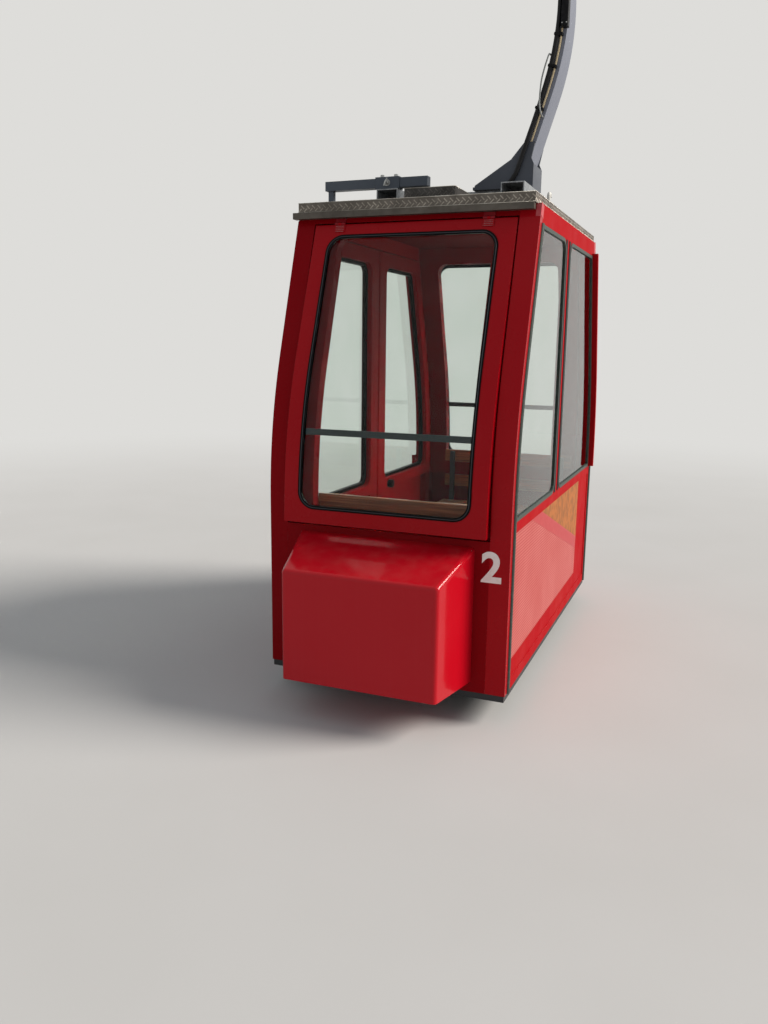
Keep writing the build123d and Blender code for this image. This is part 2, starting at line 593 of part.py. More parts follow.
def roof_plate():
    x, y = ROOF_HALF_WIDTH, ROOF_HALF_LENGTH
    tray = block((-x, x), (-y, y), (BODY_HEIGHT, ROOF_TOP))
    pocket_x, pocket_y = x - ROOF_SHEET, y - ROOF_SHEET
    pocket = block((-pocket_x, pocket_x), (-pocket_y, pocket_y), (BODY_HEIGHT, ROOF_TOP - ROOF_SHEET))
    for place in (-BEAM_SPACING, BEAM_SPACING):
        pocket -= block((place - ROOF_RIB / 2, place + ROOF_RIB / 2), (-pocket_y, pocket_y),
                        (BODY_HEIGHT, ROOF_TOP))
    return tray - pocket


parts["roof_plate"] = roof_plate()
ceiling_y = end_distance(BODY_HEIGHT, END_DEPTH)
parts["ceiling_panel"] = block((-DOOR_INNER, HALF_WIDTH - WALL), (-ceiling_y, ceiling_y),
                               (BODY_HEIGHT - CEILING, BODY_HEIGHT))
drip_height, drip_left, drip_right, drip_end = DRIP
drip_low = BODY_HEIGHT - drip_height
parts["drip_strips"] = at_both_ends(block((-ROOF_HALF_WIDTH - drip_left, ROOF_HALF_WIDTH - drip_right),
                                          (end_distance(drip_low) + PIN_GAP, ROOF_HALF_LENGTH + drip_end),
                                          (drip_low, BODY_HEIGHT)))


def roof_beams():
    """Two open box beams on feet, joined by a cross beam, with the clamp sleeve of the cross bar."""
    low = BEAM_TOP - BEAM_Z
    beams = None
    for place in (-BEAM_SPACING, BEAM_SPACING):
        half = BEAM_X / 2
        tube = block((place - half, place + half), (-BEAM_HALF_LENGTH, BEAM_HALF_LENGTH), (low, BEAM_TOP))
        half -= BEAM_WALL
        tube -= block((place - half, place + half), (-BEAM_HALF_LENGTH, BEAM_HALF_LENGTH),
                      (low + BEAM_WALL, BEAM_TOP - BEAM_WALL))
        for y in (-BEAM_HALF_LENGTH + BEAM_FOOT_INSET, BEAM_HALF_LENGTH - BEAM_FOOT_INSET):
            tube += Pos(place, y, (ROOF_TOP + low) / 2) * Box(*BEAM_FOOT)
        beams = tube if beams is None else beams + tube
    inner = BEAM_SPACING - BEAM_X / 2
    return beams + block((-inner, inner), (-CROSS_BEAM / 2, CROSS_BEAM / 2), (low, BEAM_TOP))


parts["roof_beams"] = roof_beams()

# Hatch box in front of the cross beam, with a lid hinged on its rear edge
BOX_FRONT = -ROOF_HALF_LENGTH + ROOF_BOX_SETBACK
BOX_REAR = BOX_FRONT + ROOF_BOX[1]
BOX_TOP = ROOF_TOP + ROOF_BOX[2]
LID_LOW = BOX_TOP - ROOF_BOX_LID
LID_HINGE_Y = BOX_REAR + LID_KNUCKLE + PIN_GAP
LID_HINGE_Z = BOX_TOP - LID_KNUCKLE


def roof_box():
    half = ROOF_BOX[0] / 2
    inside = half - ROOF_SHEET
    shell = block((-half, half), (BOX_FRONT, BOX_REAR), (ROOF_TOP, LID_LOW))
    shell -= block((-inside, inside), (BOX_FRONT + ROOF_SHEET, BOX_REAR - ROOF_SHEET),
                   (ROOF_TOP + ROOF_SHEET, LID_LOW))
    third = LID_HINGE_WIDTH / 6
    shell += block((-third, third), (BOX_REAR - PIN_GAP, LID_HINGE_Y + LID_KNUCKLE / 2),
                   (ROOF_TOP + ROOF_BOX[2] / 2, LID_LOW - PIN_GAP))
    shell += rod(LID_KNUCKLE, -third, third, LID_HINGE_Y, LID_HINGE_Z)
    return shell + rod(LID_PIN, -LID_HINGE_WIDTH / 2, LID_HINGE_WIDTH / 2, LID_HINGE_Y, LID_HINGE_Z)


def roof_box_lid():
    half = ROOF_BOX[0] / 2
    lid = block((-half, half), (BOX_FRONT, BOX_REAR), (LID_LOW + PIN_GAP / 2, BOX_TOP))
    third = LID_HINGE_WIDTH / 6
    for low, high in ((-3 * third, -third - PIN_GAP), (third + PIN_GAP, 3 * third)):
        lid += block((low, high), (BOX_REAR, LID_HINGE_Y), (LID_LOW + PIN_GAP / 2, BOX_TOP))
        lid += rod(LID_KNUCKLE, low, high, LID_HINGE_Y, LID_HINGE_Z)
    return lid - rod(LID_PIN + RUNNING_FIT, -half, half, LID_HINGE_Y, LID_HINGE_Z)


parts["roof_box"] = roof_box()
parts["roof_box_lid"] = roof_box_lid()

# Cross bar on the left roof beam, held in a clamp sleeve, with a leg below its outer end
bar_low, bar_high = BEAM_TOP + SLEEVE[1], BEAM_TOP + SLEEVE[1] + CROSS_BAR
bar_y = (CROSS_BAR_Y - CROSS_BAR / 2, CROSS_BAR_Y + CROSS_BAR / 2)
bar_end = -ROOF_HALF_WIDTH - CROSS_BAR_REACH[0]
leg, leg_height = CROSS_BAR_LEG
bar = block((bar_end, -BEAM_SPACING + CROSS_BAR_REACH[1]), bar_y, (bar_low, bar_high))
parts["cross_bar"] = bar + block((bar_end + leg / 2, bar_end + leg * 1.5),
                                 (CROSS_BAR_Y - leg / 2, CROSS_BAR_Y + leg / 2),
                                 (bar_low - leg_height, bar_low))
sleeve_x = (-BEAM_SPACING - SLEEVE[0] / 2, -BEAM_SPACING + SLEEVE[0] / 2)
parts["cross_bar_sleeve"] = (block(sleeve_x, (bar_y[0] - SLEEVE[1], bar_y[1] + SLEEVE[1]),
                                   (BEAM_TOP, bar_high + SLEEVE[1]))
                             - block(sleeve_x, bar_y, (bar_low, bar_high)))


def gooseneck():
    """Bent pipe that leads a cable through the roof."""
    x, y, radius, bend, height = GOOSENECK
    top = ROOF_TOP + height
    path = Polyline((x, y, ROOF_TOP), (x, y, top)) + ThreePointArc(
        (x, y, top), (x, y + bend, top + bend), (x, y + 2 * bend, top))
    pipe = sweep(Plane(origin=(x, y, ROOF_TOP)) * Circle(radius), path=path)
    return pipe + Pos(x, y, ROOF_TOP + radius / 2) * Cylinder(2 * radius, radius)


parts["roof_gooseneck"] = gooseneck()


# Benches at both ends: seat and back slats on welded brackets
def bench_slats():
    slats = []
    for number in range(SEAT_SLATS):
        low = SEAT_FRONT + number * (SEAT_SLAT_DEPTH + SEAT_SLAT_GAP)
        slats.append(block(BENCH_X, (low, low + SEAT_SLAT_DEPTH), (SEAT_HEIGHT - SLAT_THICK, SEAT_HEIGHT)))
    for low, high in BACK_SLATS:
        face = band(END_DEPTH, END_DEPTH + SLAT_THICK, SEAT_HEIGHT + low, SEAT_HEIGHT + high)
        slats.append(across(face, *BENCH_X))
    return slats


def bench_frames():
    top = SEAT_HEIGHT - SLAT_THICK
    back_y = end_distance(SEAT_HEIGHT + BACK_SLATS[-1][1], END_DEPTH + SLAT_THICK) - PIN_GAP
    frames = []
    for x in (BENCH_X[0] + BRACKET_INSET, BENCH_X[1] - BRACKET_INSET):
        width = (x - BRACKET / 2, x + BRACKET / 2)
        leg = SEAT_FRONT + SEAT_BEARER
        frames.append(block(width, (SEAT_FRONT + BRACKET_SETBACK, back_y), (top - SEAT_BEARER, top))
                      + block(width, (leg, leg + BRACKET), (FLOOR_TOP, top - SEAT_BEARER))
                      + block(width, (back_y - BRACKET_POST, back_y),
                              (top - SEAT_BEARER, SEAT_HEIGHT + BACK_SLATS[-1][1] - BRACKET_SETBACK)))
    return frames


parts["bench_slats"] = at_both_ends(*bench_slats())
parts["bench_frames"] = at_both_ends(*bench_frames())


# Hanger: a box arm of welded plate that goes round the rope's side, between its foot and its hub
def arm_line(offset):
    """Corners of a line beside the arm's centre line, seen along the track, from foot to hub."""
    lean = radians(HANGER_LEAN)
    height = PIVOT_HEIGHT - FOOT_TOP - 2 * ARM_BEND_RADIUS * sin(lean)
    low_run = (height + (ARM_HEAD_X - ARM_FOOT_X) / tan(lean)) / 2
    low_x, low_z = ARM_FOOT_X + low_run * tan(lean), FOOT_TOP + low_run
    centre = (low_x - ARM_BEND_RADIUS * cos(lean), low_z + ARM_BEND_RADIUS * sin(lean))
    radius = ARM_BEND_RADIUS + offset

    def on_arc(angle):
        return (centre[0] + radius * cos(angle), centre[1] + radius * sin(angle))

    low, high = on_arc(-lean), on_arc(lean)
    foot = (low[0] - (low[1] - FOOT_TOP) * tan(lean), FOOT_TOP)
    head = (high[0] - (PIVOT_HEIGHT - high[1]) * tan(lean), PIVOT_HEIGHT)
    return {"foot": foot, "low": low, "middle": on_arc(0), "high": high, "head": head,
            "arc": [on_arc(lean * share) for share in (-0.67, -0.22, 0.22, 0.67)]}


def arm_solid(offset, half_depth):
    inner, outer = arm_line(-offset), arm_line(offset)
    loop = []
    for line in (inner, outer):
        loop.append(Line(line["foot"], line["low"]))
        loop.append(ThreePointArc(line["low"], line["middle"], line["high"]))
        loop.append(Line(line["high"], line["head"]))
    loop.append(Line(inner["foot"], outer["foot"]))
    loop.append(Line(inner["head"], outer["head"]))
    return Plane.XZ.offset(-half_depth) * extrude(make_face(loop), 2 * half_depth, dir=(0, 0, 1))


def above(height):
    return block((0, 2 * ARM_BEND_RADIUS), (-ARM_SIZE_Y, ARM_SIZE_Y), (height, PIVOT_HEIGHT + ARM_SIZE_Y))


def hanger_arm():
    hollow = arm_solid(ARM_SIZE_X / 2 - ARM_WALL, ARM_SIZE_Y / 2 - ARM_WALL)
    hollow -= above(PIVOT_HEIGHT - ARM_CAP - ARM_WALL)
    arm = arm_solid(ARM_SIZE_X / 2, ARM_SIZE_Y / 2) - hollow - above(PIVOT_HEIGHT - ARM_CAP)
    return arm - rod(HUB_RADIUS, 0, HUB_END, 0, PIVOT_HEIGHT)


def hanger_foot():
    half = ARM_SIZE_Y / 2
    base = block((ARM_FOOT_X - FOOT_REACH, BEAM_SPACING + BEAM_X / 2), (-half - CHEEK, half + CHEEK),
                 (BEAM_TOP, FOOT_TOP))
    corners = [(ARM_FOOT_X + x, FOOT_TOP + z) for x, z in CHEEK_OUTLINE]
    cheek = extrude(make_face(Polyline(*corners, close=True)), CHEEK, dir=(0, 0, 1))
    back_x, back_z = CHEEK_OUTLINE[2]
    back = block((ARM_FOOT_X + back_x - ARM_WALL, ARM_FOOT_X + back_x), (-half, half),
                 (FOOT_TOP, FOOT_TOP + back_z))
    return base + Plane.XZ.offset(half) * cheek + Plane.XZ.offset(-half - CHEEK) * cheek + back


# Signal cables in one sleeve, laid along the near face of the arm, from the roof to the hub
CABLE_Y = -ARM_SIZE_Y / 2 - CABLE_RADIUS - CABLE_GAP
CABLE_OFFSET = -ARM_SIZE_X / 2 + CABLE_SETBACK + CABLE_RADIUS       # from the arm's centre line
CABLE_FOOT_Y = CABLE_Y - CHEEK - 2 * CABLE_GAP


def tube(points, radius):
    """Round tube along straight runs joined by tangent arcs, with its length and arc radii."""
    radii = []
    for before, corner, after in zip(points, points[1:], points[2:]):
        one, two = Vector(*corner) - Vector(*before), Vector(*after) - Vector(*corner)
        turn = radians(one.get_angle(two))
        radii.append(0.45 * min(one.length, two.length) / tan(turn / 2))
    path = FilletPolyline(*points, radius=radii)
    solid = sweep(Plane(path @ 0, z_dir=path % 0) * Circle(radius), path=path)
    ratio = solid.volume / (path.length * pi * radius ** 2)
    print("tube", round(path.length), "mm, arc radii", [round(r) for r in radii],
          "volume ratio", round(ratio, 4))
    return solid, path


def cable_points():
    line = arm_line(CABLE_OFFSET)

    def between(low, high, share, y):
        (x1, z1), (x2, z2) = line[low], line[high]
        return (x1 + (x2 - x1) * share, y, z1 + (z2 - z1) * share)

    left = BEAM_SPACING - BEAM_X / 2 - CABLE_RADIUS
    first, second, third = CABLE_CROSSING
    start = left - CABLE_ENTRY[0]
    points = [(start, CABLE_FOOT_Y, ROOF_TOP + GLAND[1]), (start, CABLE_FOOT_Y, FOOT_TOP - CABLE_ENTRY[1]),
              between("foot", "low", first, CABLE_FOOT_Y), between("foot", "low", second, CABLE_FOOT_Y),
              between("foot", "low", third, CABLE_Y)]
    points += [(x, CABLE_Y, z) for x, z in line["arc"]]
    bend, end = CABLE_TOP
    points.append(between("high", "head", bend, CABLE_Y))
    return points + [between("high", "head", end, CABLE_Y - CABLE_GAP)]


bundle, bundle_path = tube(cable_points(), CABLE_RADIUS)
parts["cable_bundle"] = bundle


def hanging_loop():
    """Thin cable that leaves the arm's face, hangs in front of the bundle and goes back in lower down."""
    face = -ARM_SIZE_Y / 2
    front = CABLE_Y - CABLE_RADIUS - LOOP_RADIUS - 2 * CABLE_GAP
    x, z = arm_line(-ARM_SIZE_X / 2)["arc"][0]
    hanging = [(x + dx, front, z + dz) for dx, dz in LOOP_STEPS]
    (x1, _, z1), (x2, _, z2) = hanging[0], hanging[-1]
    return [(x1, face, z1), *hanging, (x2, face, z2)]


parts["cable_loop"] = tube(hanging_loop(), LOOP_RADIUS)[0]


def cable_glands():
    """The gland that the bundle leaves the roof by, and the block that it ends in below the hub."""
    start, end = bundle_path @ 0, bundle_path @ 1
    lower = Pos(start.X, start.Y, ROOF_TOP + GLAND[1] / 2) * Cylinder(*GLAND)
    depth = 2 * (CABLE_RADIUS + CABLE_GAP)
    plane = Plane(end, x_dir=(0, 1, 0), z_dir=bundle_path % 1)
    upper = plane * Pos(0, 0, depth) * Box(depth, depth, 2 * depth)
    upper -= block((0, HUB_END), (-ARM_SIZE_Y / 2, ARM_SIZE_Y / 2), (FOOT_TOP, PIVOT_HEIGHT))
    return Compound([lower, upper])


parts["cable_glands"] = cable_glands()
middle_x, middle_z = arm_line(0)["middle"]
box_x, box_y, box_z = JUNCTION_BOX
box_start = middle_x + CABLE_OFFSET + CABLE_RADIUS - PIN_GAP
parts["junction_box"] = block((box_start, box_start + box_x),
                              (-ARM_SIZE_Y / 2 - box_y, -ARM_SIZE_Y / 2),
                              (middle_z - box_z / 2, middle_z + box_z / 2))
parts["hanger_arm"] = hanger_arm()
parts["hanger_foot"] = hanger_foot()
parts["hanger_hub"] = (rod(HUB_RADIUS, HUB_START, HUB_END, 0, PIVOT_HEIGHT)
                       - rod(SHAFT_RADIUS + RUNNING_FIT, HUB_START, HUB_END, 0, PIVOT_HEIGHT))


# Running carriage: side plates over two pairs of wheels in rockers, and the shaft for the hanger
def link(start, start_radius, end, end_radius):
    """Face of a flat bar with round ends of two radii."""
    dx, dy = end[0] - start[0], end[1] - start[1]
    along = atan2(dy, dx)
    side = acos((start_radius - end_radius) / sqrt(dx ** 2 + dy ** 2))
    corners = []
    for (x, y), radius, signs in ((start, start_radius, (1, -1)), (end, end_radius, (-1, 1))):
        for sign in signs:
            angle = along + sign * side
            corners.append((x + radius * cos(angle), y + radius * sin(angle)))
    bar = make_face(Polyline(*corners, close=True))
    return bar + Pos(*start) * Circle(start_radius) + Pos(*end) * Circle(end_radius)


def plate_pair(face, inner, thick):
    """A plate on each side of the rope."""
    return [across(face, inner, inner + thick), across(face, -inner - thick, -inner)]


def carriage_plates():
    pivot, pin, spacer = (0, PIVOT_HEIGHT), (ROCKER_Y, ROCKER_HEIGHT), (SPACER_Y, AXLE_HEIGHT)
    half = link(pivot, HUB_RADIUS + PLATE_MARGIN, pin, PLATE_ENDS[0])
    half += link(pin, PLATE_ENDS[0], spacer, PLATE_ENDS[1])
    plate = both(half - Pos(*pin) * Circle(ROCKER_PIN)) - Pos(*pivot) * Circle(SHAFT_RADIUS)
    return Compound(plate_pair(plate, PLATE_INNER, PLATE_THICK))


def wheel_rockers():
    rockers = []
    for middle in (-ROCKER_Y, ROCKER_Y):
        pin = (middle, ROCKER_HEIGHT)
        axles = [(middle + side * WHEEL_PITCH / 2, AXLE_HEIGHT) for side in (-1, 1)]
        plate = link(*[value for axle in axles for value in (axle, ROCKER_ENDS)])
        plate += make_face(Polyline(pin, *axles, close=True))
        for axle in axles:
            plate += link(axle, ROCKER_ENDS, pin, ROCKER_ENDS)
        for place, radius in ((pin, ROCKER_PIN), (axles[0], AXLE_RADIUS), (axles[1], AXLE_RADIUS)):
            plate -= Pos(*place) * Circle(radius)
        rockers += plate_pair(plate, ROCKER_INNER, ROCKER_THICK)
    return Compound(rockers)


def stepped_bar(y, z, *steps):
    """Turned bar across the track, from steps of radius, start and end, each on both sides of the rope."""
    bar = None
    for radius, start, end in steps:
        for low, high in ((start, end), (-end, -start)):
            piece = rod(radius, low, high, y, z)
            bar = piece if bar is None else bar + piece
    return bar


def carriage_spacers():
    """Tubes between the side plates at their ends, with the eyes for the haul rope."""
    spacer, eye = (SPACER_Y, AXLE_HEIGHT), (SPACER_Y + HAUL_EYE_REACH, ROPE_HEIGHT + HAUL_EYE_RISE)
    lug = link(spacer, LUG_RADIUS, eye, LUG_RADIUS) - Pos(*eye) * Circle(HAUL_EYE_RADIUS)
    lug = across(lug, -LUG_THICK / 2, LUG_THICK / 2)
    return lug + rod(SPACER_RADIUS, -PLATE_INNER, PLATE_INNER, *spacer)


def wheel():
    """Grooved wheel, its profile turned about the axle and its web pierced."""
    half, flange = WHEEL_HALF_WIDTH, WHEEL_FLANGE
    bore, rim, web = AXLE_RADIUS + RUNNING_FIT, WHEEL_TREAD - WHEEL_RIM, WHEEL_WEB / 2
    hub, hub_half = WHEEL_HUB
    lip = half - WHEEL_LIP
    side = [(bore, hub_half), (hub, hub_half), (hub, web), (rim, web),
            (rim, half), (flange, half), (flange, lip)]
    other = [(x, -y) for x, y in reversed(side)]
    profile = Polyline(*side) + ThreePointArc((flange, lip), (WHEEL_TREAD, 0), (flange, -lip))
    profile += Polyline(*other, side[0])
    solid = revolve(make_face(profile), Axis.Y)
    count, radius = WHEEL_HOLES
    for number in range(count):
        turn = Rot(0, 360 / count * number, 0)
        solid -= turn * Pos((hub + rim) / 2, 0, 0) * Rot(90, 0, 0) * Cylinder(radius, 2 * half)
    return solid.rotate(Axis.Z, 90)


rocker_end, plate_end = ROCKER_INNER + ROCKER_THICK, PLATE_INNER + PLATE_THICK
head = (PLATE_INNER - rocker_end) / 2
parts["carriage_plates"] = carriage_plates()
parts["wheel_rockers"] = wheel_rockers()
parts["carriage_spacers"] = at_both_ends(carriage_spacers())
parts["wheel_axles"] = Compound([
    stepped_bar(place, AXLE_HEIGHT, (AXLE_RADIUS, 0, rocker_end + head / 2),
                (HEAD_RATIO * AXLE_RADIUS, rocker_end, rocker_end + head)) for place in WHEEL_PLACES])
parts["rocker_pins"] = at_both_ends(stepped_bar(
    ROCKER_Y, ROCKER_HEIGHT, (ROCKER_PIN, 0, plate_end), (HEAD_RATIO * ROCKER_PIN, rocker_end, PLATE_INNER),
    (HEAD_RATIO * ROCKER_PIN, plate_end, plate_end + PLATE_THICK)))
parts["pivot_shaft"] = (rod(SHAFT_RADIUS, -plate_end - COLLAR_THICK, HUB_END + SHAFT_END, 0, PIVOT_HEIGHT)
                        + rod(COLLAR_RADIUS, plate_end, HUB_START - COLLAR_GAP, 0, PIVOT_HEIGHT)
                        + rod(COLLAR_RADIUS, HUB_END + COLLAR_GAP, HUB_END + COLLAR_THICK, 0, PIVOT_HEIGHT)
                        + rod(COLLAR_RADIUS, -plate_end - COLLAR_THICK, -plate_end, 0, PIVOT_HEIGHT))
wheel_solid = wheel()
for number, place in enumerate(WHEEL_PLACES, start=1):
    parts[f"wheel_{number}"] = Pos(0, place, AXLE_HEIGHT) * wheel_solid

os.makedirs("parts", exist_ok=True)
for node, shape in parts.items():
    export_step(Pos(0, 0, -ROPE_HEIGHT) * shape, f"parts/{node}.step")
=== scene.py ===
"""A small cable car cabin with its hanger and running carriage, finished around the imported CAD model."""
from math import asin, cos, pi, radians, sin, sqrt, tan

import bpy
from mathutils import Matrix, Vector


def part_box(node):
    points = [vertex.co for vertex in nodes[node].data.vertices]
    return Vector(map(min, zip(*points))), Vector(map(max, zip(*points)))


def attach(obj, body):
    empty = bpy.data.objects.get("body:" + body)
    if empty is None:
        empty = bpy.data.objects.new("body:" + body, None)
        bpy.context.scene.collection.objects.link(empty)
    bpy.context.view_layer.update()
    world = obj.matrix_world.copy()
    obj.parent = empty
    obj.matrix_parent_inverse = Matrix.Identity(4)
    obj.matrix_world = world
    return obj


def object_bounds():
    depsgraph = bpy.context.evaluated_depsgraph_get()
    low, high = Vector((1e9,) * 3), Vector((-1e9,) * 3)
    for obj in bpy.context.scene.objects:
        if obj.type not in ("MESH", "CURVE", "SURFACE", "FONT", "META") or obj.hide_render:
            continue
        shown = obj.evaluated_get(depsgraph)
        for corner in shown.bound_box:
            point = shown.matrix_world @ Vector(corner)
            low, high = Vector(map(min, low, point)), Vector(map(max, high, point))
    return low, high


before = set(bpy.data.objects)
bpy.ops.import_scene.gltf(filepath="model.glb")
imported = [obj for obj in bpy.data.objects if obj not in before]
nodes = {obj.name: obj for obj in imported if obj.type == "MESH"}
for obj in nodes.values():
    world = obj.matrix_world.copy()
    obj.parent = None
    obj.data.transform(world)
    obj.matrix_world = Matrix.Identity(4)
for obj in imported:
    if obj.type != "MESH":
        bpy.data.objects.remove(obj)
cad_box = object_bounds()
bpy.context.scene.view_settings.view_transform = "Standard"
bpy.ops.object.select_all(action="DESELECT")

# The camera stands at eye height in front of the cabin, a little to its glazed side, and looks slightly
# down. Its lens is a wide one, held upright.
CAMERA_PLACE, LENS_MM, SENSOR_MM = (1.489, -4.868, -2.877), 29.99, 36.0
HEADING, TILT, ROLL = radians(21.86), radians(78.886), radians(0.733)
bpy.ops.object.camera_add(location=CAMERA_PLACE)
camera = bpy.context.object
camera.name = "front_camera"
camera.data.lens = LENS_MM
camera.data.sensor_width = SENSOR_MM
sight = Matrix.Rotation(HEADING, 3, "Z") @ Matrix.Rotation(TILT, 3, "X")
camera.rotation_euler = (sight @ Matrix.Rotation(ROLL, 3, "Z")).to_euler()
bpy.context.scene.camera = camera

# Underframe: a welded frame of folded steel channels under the floor, with a skirt below the body. It is
# sprayed in dark grey chassis enamel, which dust and rain have dulled.
MM = 0.001


def linear(code):
    """Linear colour of an sRGB hex value."""
    shares = [int(code[place:place + 2], 16) / 255 for place in (1, 3, 5)]
    return (*[c / 12.92 if c <= 0.04045 else ((c + 0.055) / 1.055) ** 2.4 for c in shares], 1.0)


def add_node(material, kind, inputs=None, out=0, **settings):
    """Adds a shader node, gives its inputs a value, colour or link, and returns one of its outputs."""
    node = material.node_tree.nodes.new("ShaderNode" + kind)
    for name, value in settings.items():
        setattr(node, name, value)
    for socket, value in (inputs or {}).items():
        if isinstance(value, bpy.types.NodeSocket):
            material.node_tree.links.new(value, node.inputs[socket])
        else:
            node.inputs[socket].default_value = linear(value) if isinstance(value, str) else value
    return node.outputs[out]


def new_finish(name, **values):
    """A material whose shader sockets get constant values, and the piece's own coordinates."""
    material = bpy.data.materials.new(name)
    material.use_nodes = True
    for socket, value in values.items():
        material.node_tree.nodes["Principled BSDF"].inputs[socket.replace("_", " ")].default_value = value
    return material, add_node(material, "TexCoord", out="Object")


def complete(material, colour, roughness=None, height=None, depth_mm=0.0, normal=None):
    """Links the finished patterns to the shader: its colour, roughness and the relief of the surface."""
    shader = material.node_tree.nodes["Principled BSDF"]
    if height is not None:
        relief = {"Height": height, "Distance": depth_mm * MM, "Strength": 1.0}
        if normal is not None:
            relief["Normal"] = normal
        normal = add_node(material, "Bump", relief)
    for socket, value in (("Base Color", colour), ("Roughness", roughness), ("Normal", normal)):
        if value is not None:
            material.node_tree.links.new(value, shader.inputs[socket])
    return material


def blotches(material, place, size_mm, low, high, most=1.0, detail=3.0, stretch=(1, 1, 1)):
    """Soft patches about size_mm wide, from 0 between them to most, drawn out along each axis by stretch."""
    scale = [1 / (size_mm * MM * share) for share in stretch]
    grid = add_node(material, "Mapping", {"Vector": place, "Scale": scale})
    noise = add_node(material, "TexNoise", {"Vector": grid, "Scale": 1.0, "Detail": detail})
    return add_node(material, "MapRange", {"Value": noise, "From Min": low, "From Max": high, "To Max": most})


DUST = "#A79C8E"


def enamel(name, colour, faded, chip="#5A5552", gloss=(0.22, 0.34), shine=0.14, coat=0.05, fading=0.25,
           dust=0.08, wear=0.7):
    """Sprayed enamel on steel: smooth and glossy, which gives clear highlights, with slightly faded patches,
    rain streaks, some dust on what faces up, and edges rubbed through in spots."""
    material, place = new_finish(name, IOR=1.5, Specular_IOR_Level=shine, Coat_Weight=coat,
                                 Coat_Roughness=0.05)
    edge = add_node(material, "Bevel", {"Radius": 3 * MM}, samples=4)
    surface = add_node(material, "NewGeometry", out="Normal")
    flat = add_node(material, "VectorMath", {0: edge, 1: surface}, out="Value", operation="DOT_PRODUCT")
    patches = blotches(material, place, 420, 0.42, 0.70, fading)
    paint = add_node(material, "Mix", {0: patches, 6: colour, 7: faded}, out=2, data_type="RGBA")
    streaks = blotches(material, place, 20, 0.52, 0.80, 0.12, 2.0, stretch=(1, 1, 26))
    paint = add_node(material, "Mix", {0: streaks, 6: paint, 7: faded}, out=2, data_type="RGBA")
    facing = add_node(material, "SeparateXYZ", {0: surface}, out="Z")
    facing = add_node(material, "MapRange", {"Value": facing, "From Min": 0.6, "From Max": 0.95})
    settled = blotches(material, place, 60, 0.40, 0.72, dust, 6.0)
    settled = add_node(material, "Math", {0: facing, 1: settled}, operation="MULTIPLY")
    paint = add_node(material, "Mix", {0: settled, 6: paint, 7: DUST}, out=2, data_type="RGBA")
    edges = add_node(material, "MapRange", {"Value": flat, "From Min": 0.96, "From Max": 0.85})
    rubbed = blotches(material, place, 14, 0.58, 0.66, wear, 4.0)
    rubbed = add_node(material, "Math", {0: edges, 1: rubbed}, operation="MULTIPLY")
    paint = add_node(material, "Mix", {0: rubbed, 6: paint, 7: chip}, out=2, data_type="RGBA")
    dull = blotches(material, place, 150, 0.3, 0.7, 1.0, 5.0)
    dull = add_node(material, "MapRange", {"Value": dull, "To Min": gloss[0], "To Max": gloss[1]})
    dull = add_node(material, "Math", {0: dull, 1: settled}, operation="ADD")
    waves = blotches(material, place, 260, 0.0, 1.0, detail=1.0)
    sheet = {"Height": waves, "Distance": 0.9 * MM, "Strength": 1.0, "Normal": edge}
    sheet = add_node(material, "Bump", sheet)
    peel = blotches(material, place, 3.5, 0.0, 1.0, detail=1.0)
    return complete(material, paint, dull, peel, 0.006, sheet)


def dress(material, *names):
    """Gives CAD nodes their real finish."""
    for name in names:
        nodes[name].data.materials.clear()
        nodes[name].data.materials.append(material)


dress(enamel("dark_grey_chassis_enamel", "#3A3C3E", "#504E4A", gloss=(0.4, 0.6), coat=0.0), "underframe")

# Floor: aluminium tread plate, screwed down on the underframe and scuffed bright between the benches.
# Its bars are only 1.5 mm high, so they are a relief in the finish.
FLOOR_PITCH = 34 * MM


def aluminium(name, colour, grime, dull=(0.38, 0.62), metal=0.75, relief=None, depth_mm=0.0):
    """Mill-finish aluminium plate: soft dull reflections, grey oxide clouds and grime that settles in
    patches, over a relief if it has one."""
    material, place = new_finish(name, Metallic=metal)
    dirt = blotches(material, place, 70, 0.38, 0.66, 0.8, 7.0)
    shade = add_node(material, "Mix", {0: dirt, 6: colour, 7: grime}, out=2, data_type="RGBA")
    specks = blotches(material, place, 6, 0.55, 0.75, 0.35)
    shade = add_node(material, "Mix", {0: specks, 6: shade, 7: grime}, out=2, data_type="RGBA")
    rough = blotches(material, place, 35, 0.3, 0.7, 1.0, 4.0)
    rough = add_node(material, "MapRange", {"Value": rough, "To Min": dull[0], "To Max": dull[1]})
    return complete(material, shade, rough, relief and relief(material, place), depth_mm)


def tread_relief(material, place):
    """Height of the bars of tread plate, in cells that hold one bar each way in turn."""
    cells = {"Vector": place, "Rotation": (0, 0, pi / 4), "Scale": (1 / FLOOR_PITCH,) * 3}
    turned = add_node(material, "Mapping", cells)
    checks = add_node(material, "TexChecker", {"Vector": turned, "Scale": 1.0}, out="Fac")
    bars = []
    for narrow, long in (("X", "Y"), ("Y", "X")):
        bar = 1.0
        for axis, sharp in ((narrow, 6.0), (long, 1.2)):
            wave = add_node(material, "SeparateXYZ", {0: turned}, out=axis)
            wave = add_node(material, "Math", {0: wave, 1: pi}, operation="MULTIPLY")
            wave = add_node(material, "Math", {0: wave}, operation="SINE")
            wave = add_node(material, "Math", {0: wave}, operation="ABSOLUTE")
            wave = add_node(material, "Math", {0: wave, 1: sharp}, operation="POWER")
            bar = add_node(material, "Math", {0: wave, 1: bar}, operation="MULTIPLY")
        bars.append(bar)
    return add_node(material, "Mix", {0: checks, 2: bars[0], 3: bars[1]}, data_type="FLOAT")


dress(aluminium("scuffed_floor_tread", "#A3A29E", "#77736B", relief=tread_relief, depth_mm=1.5),
      "floor_plate")

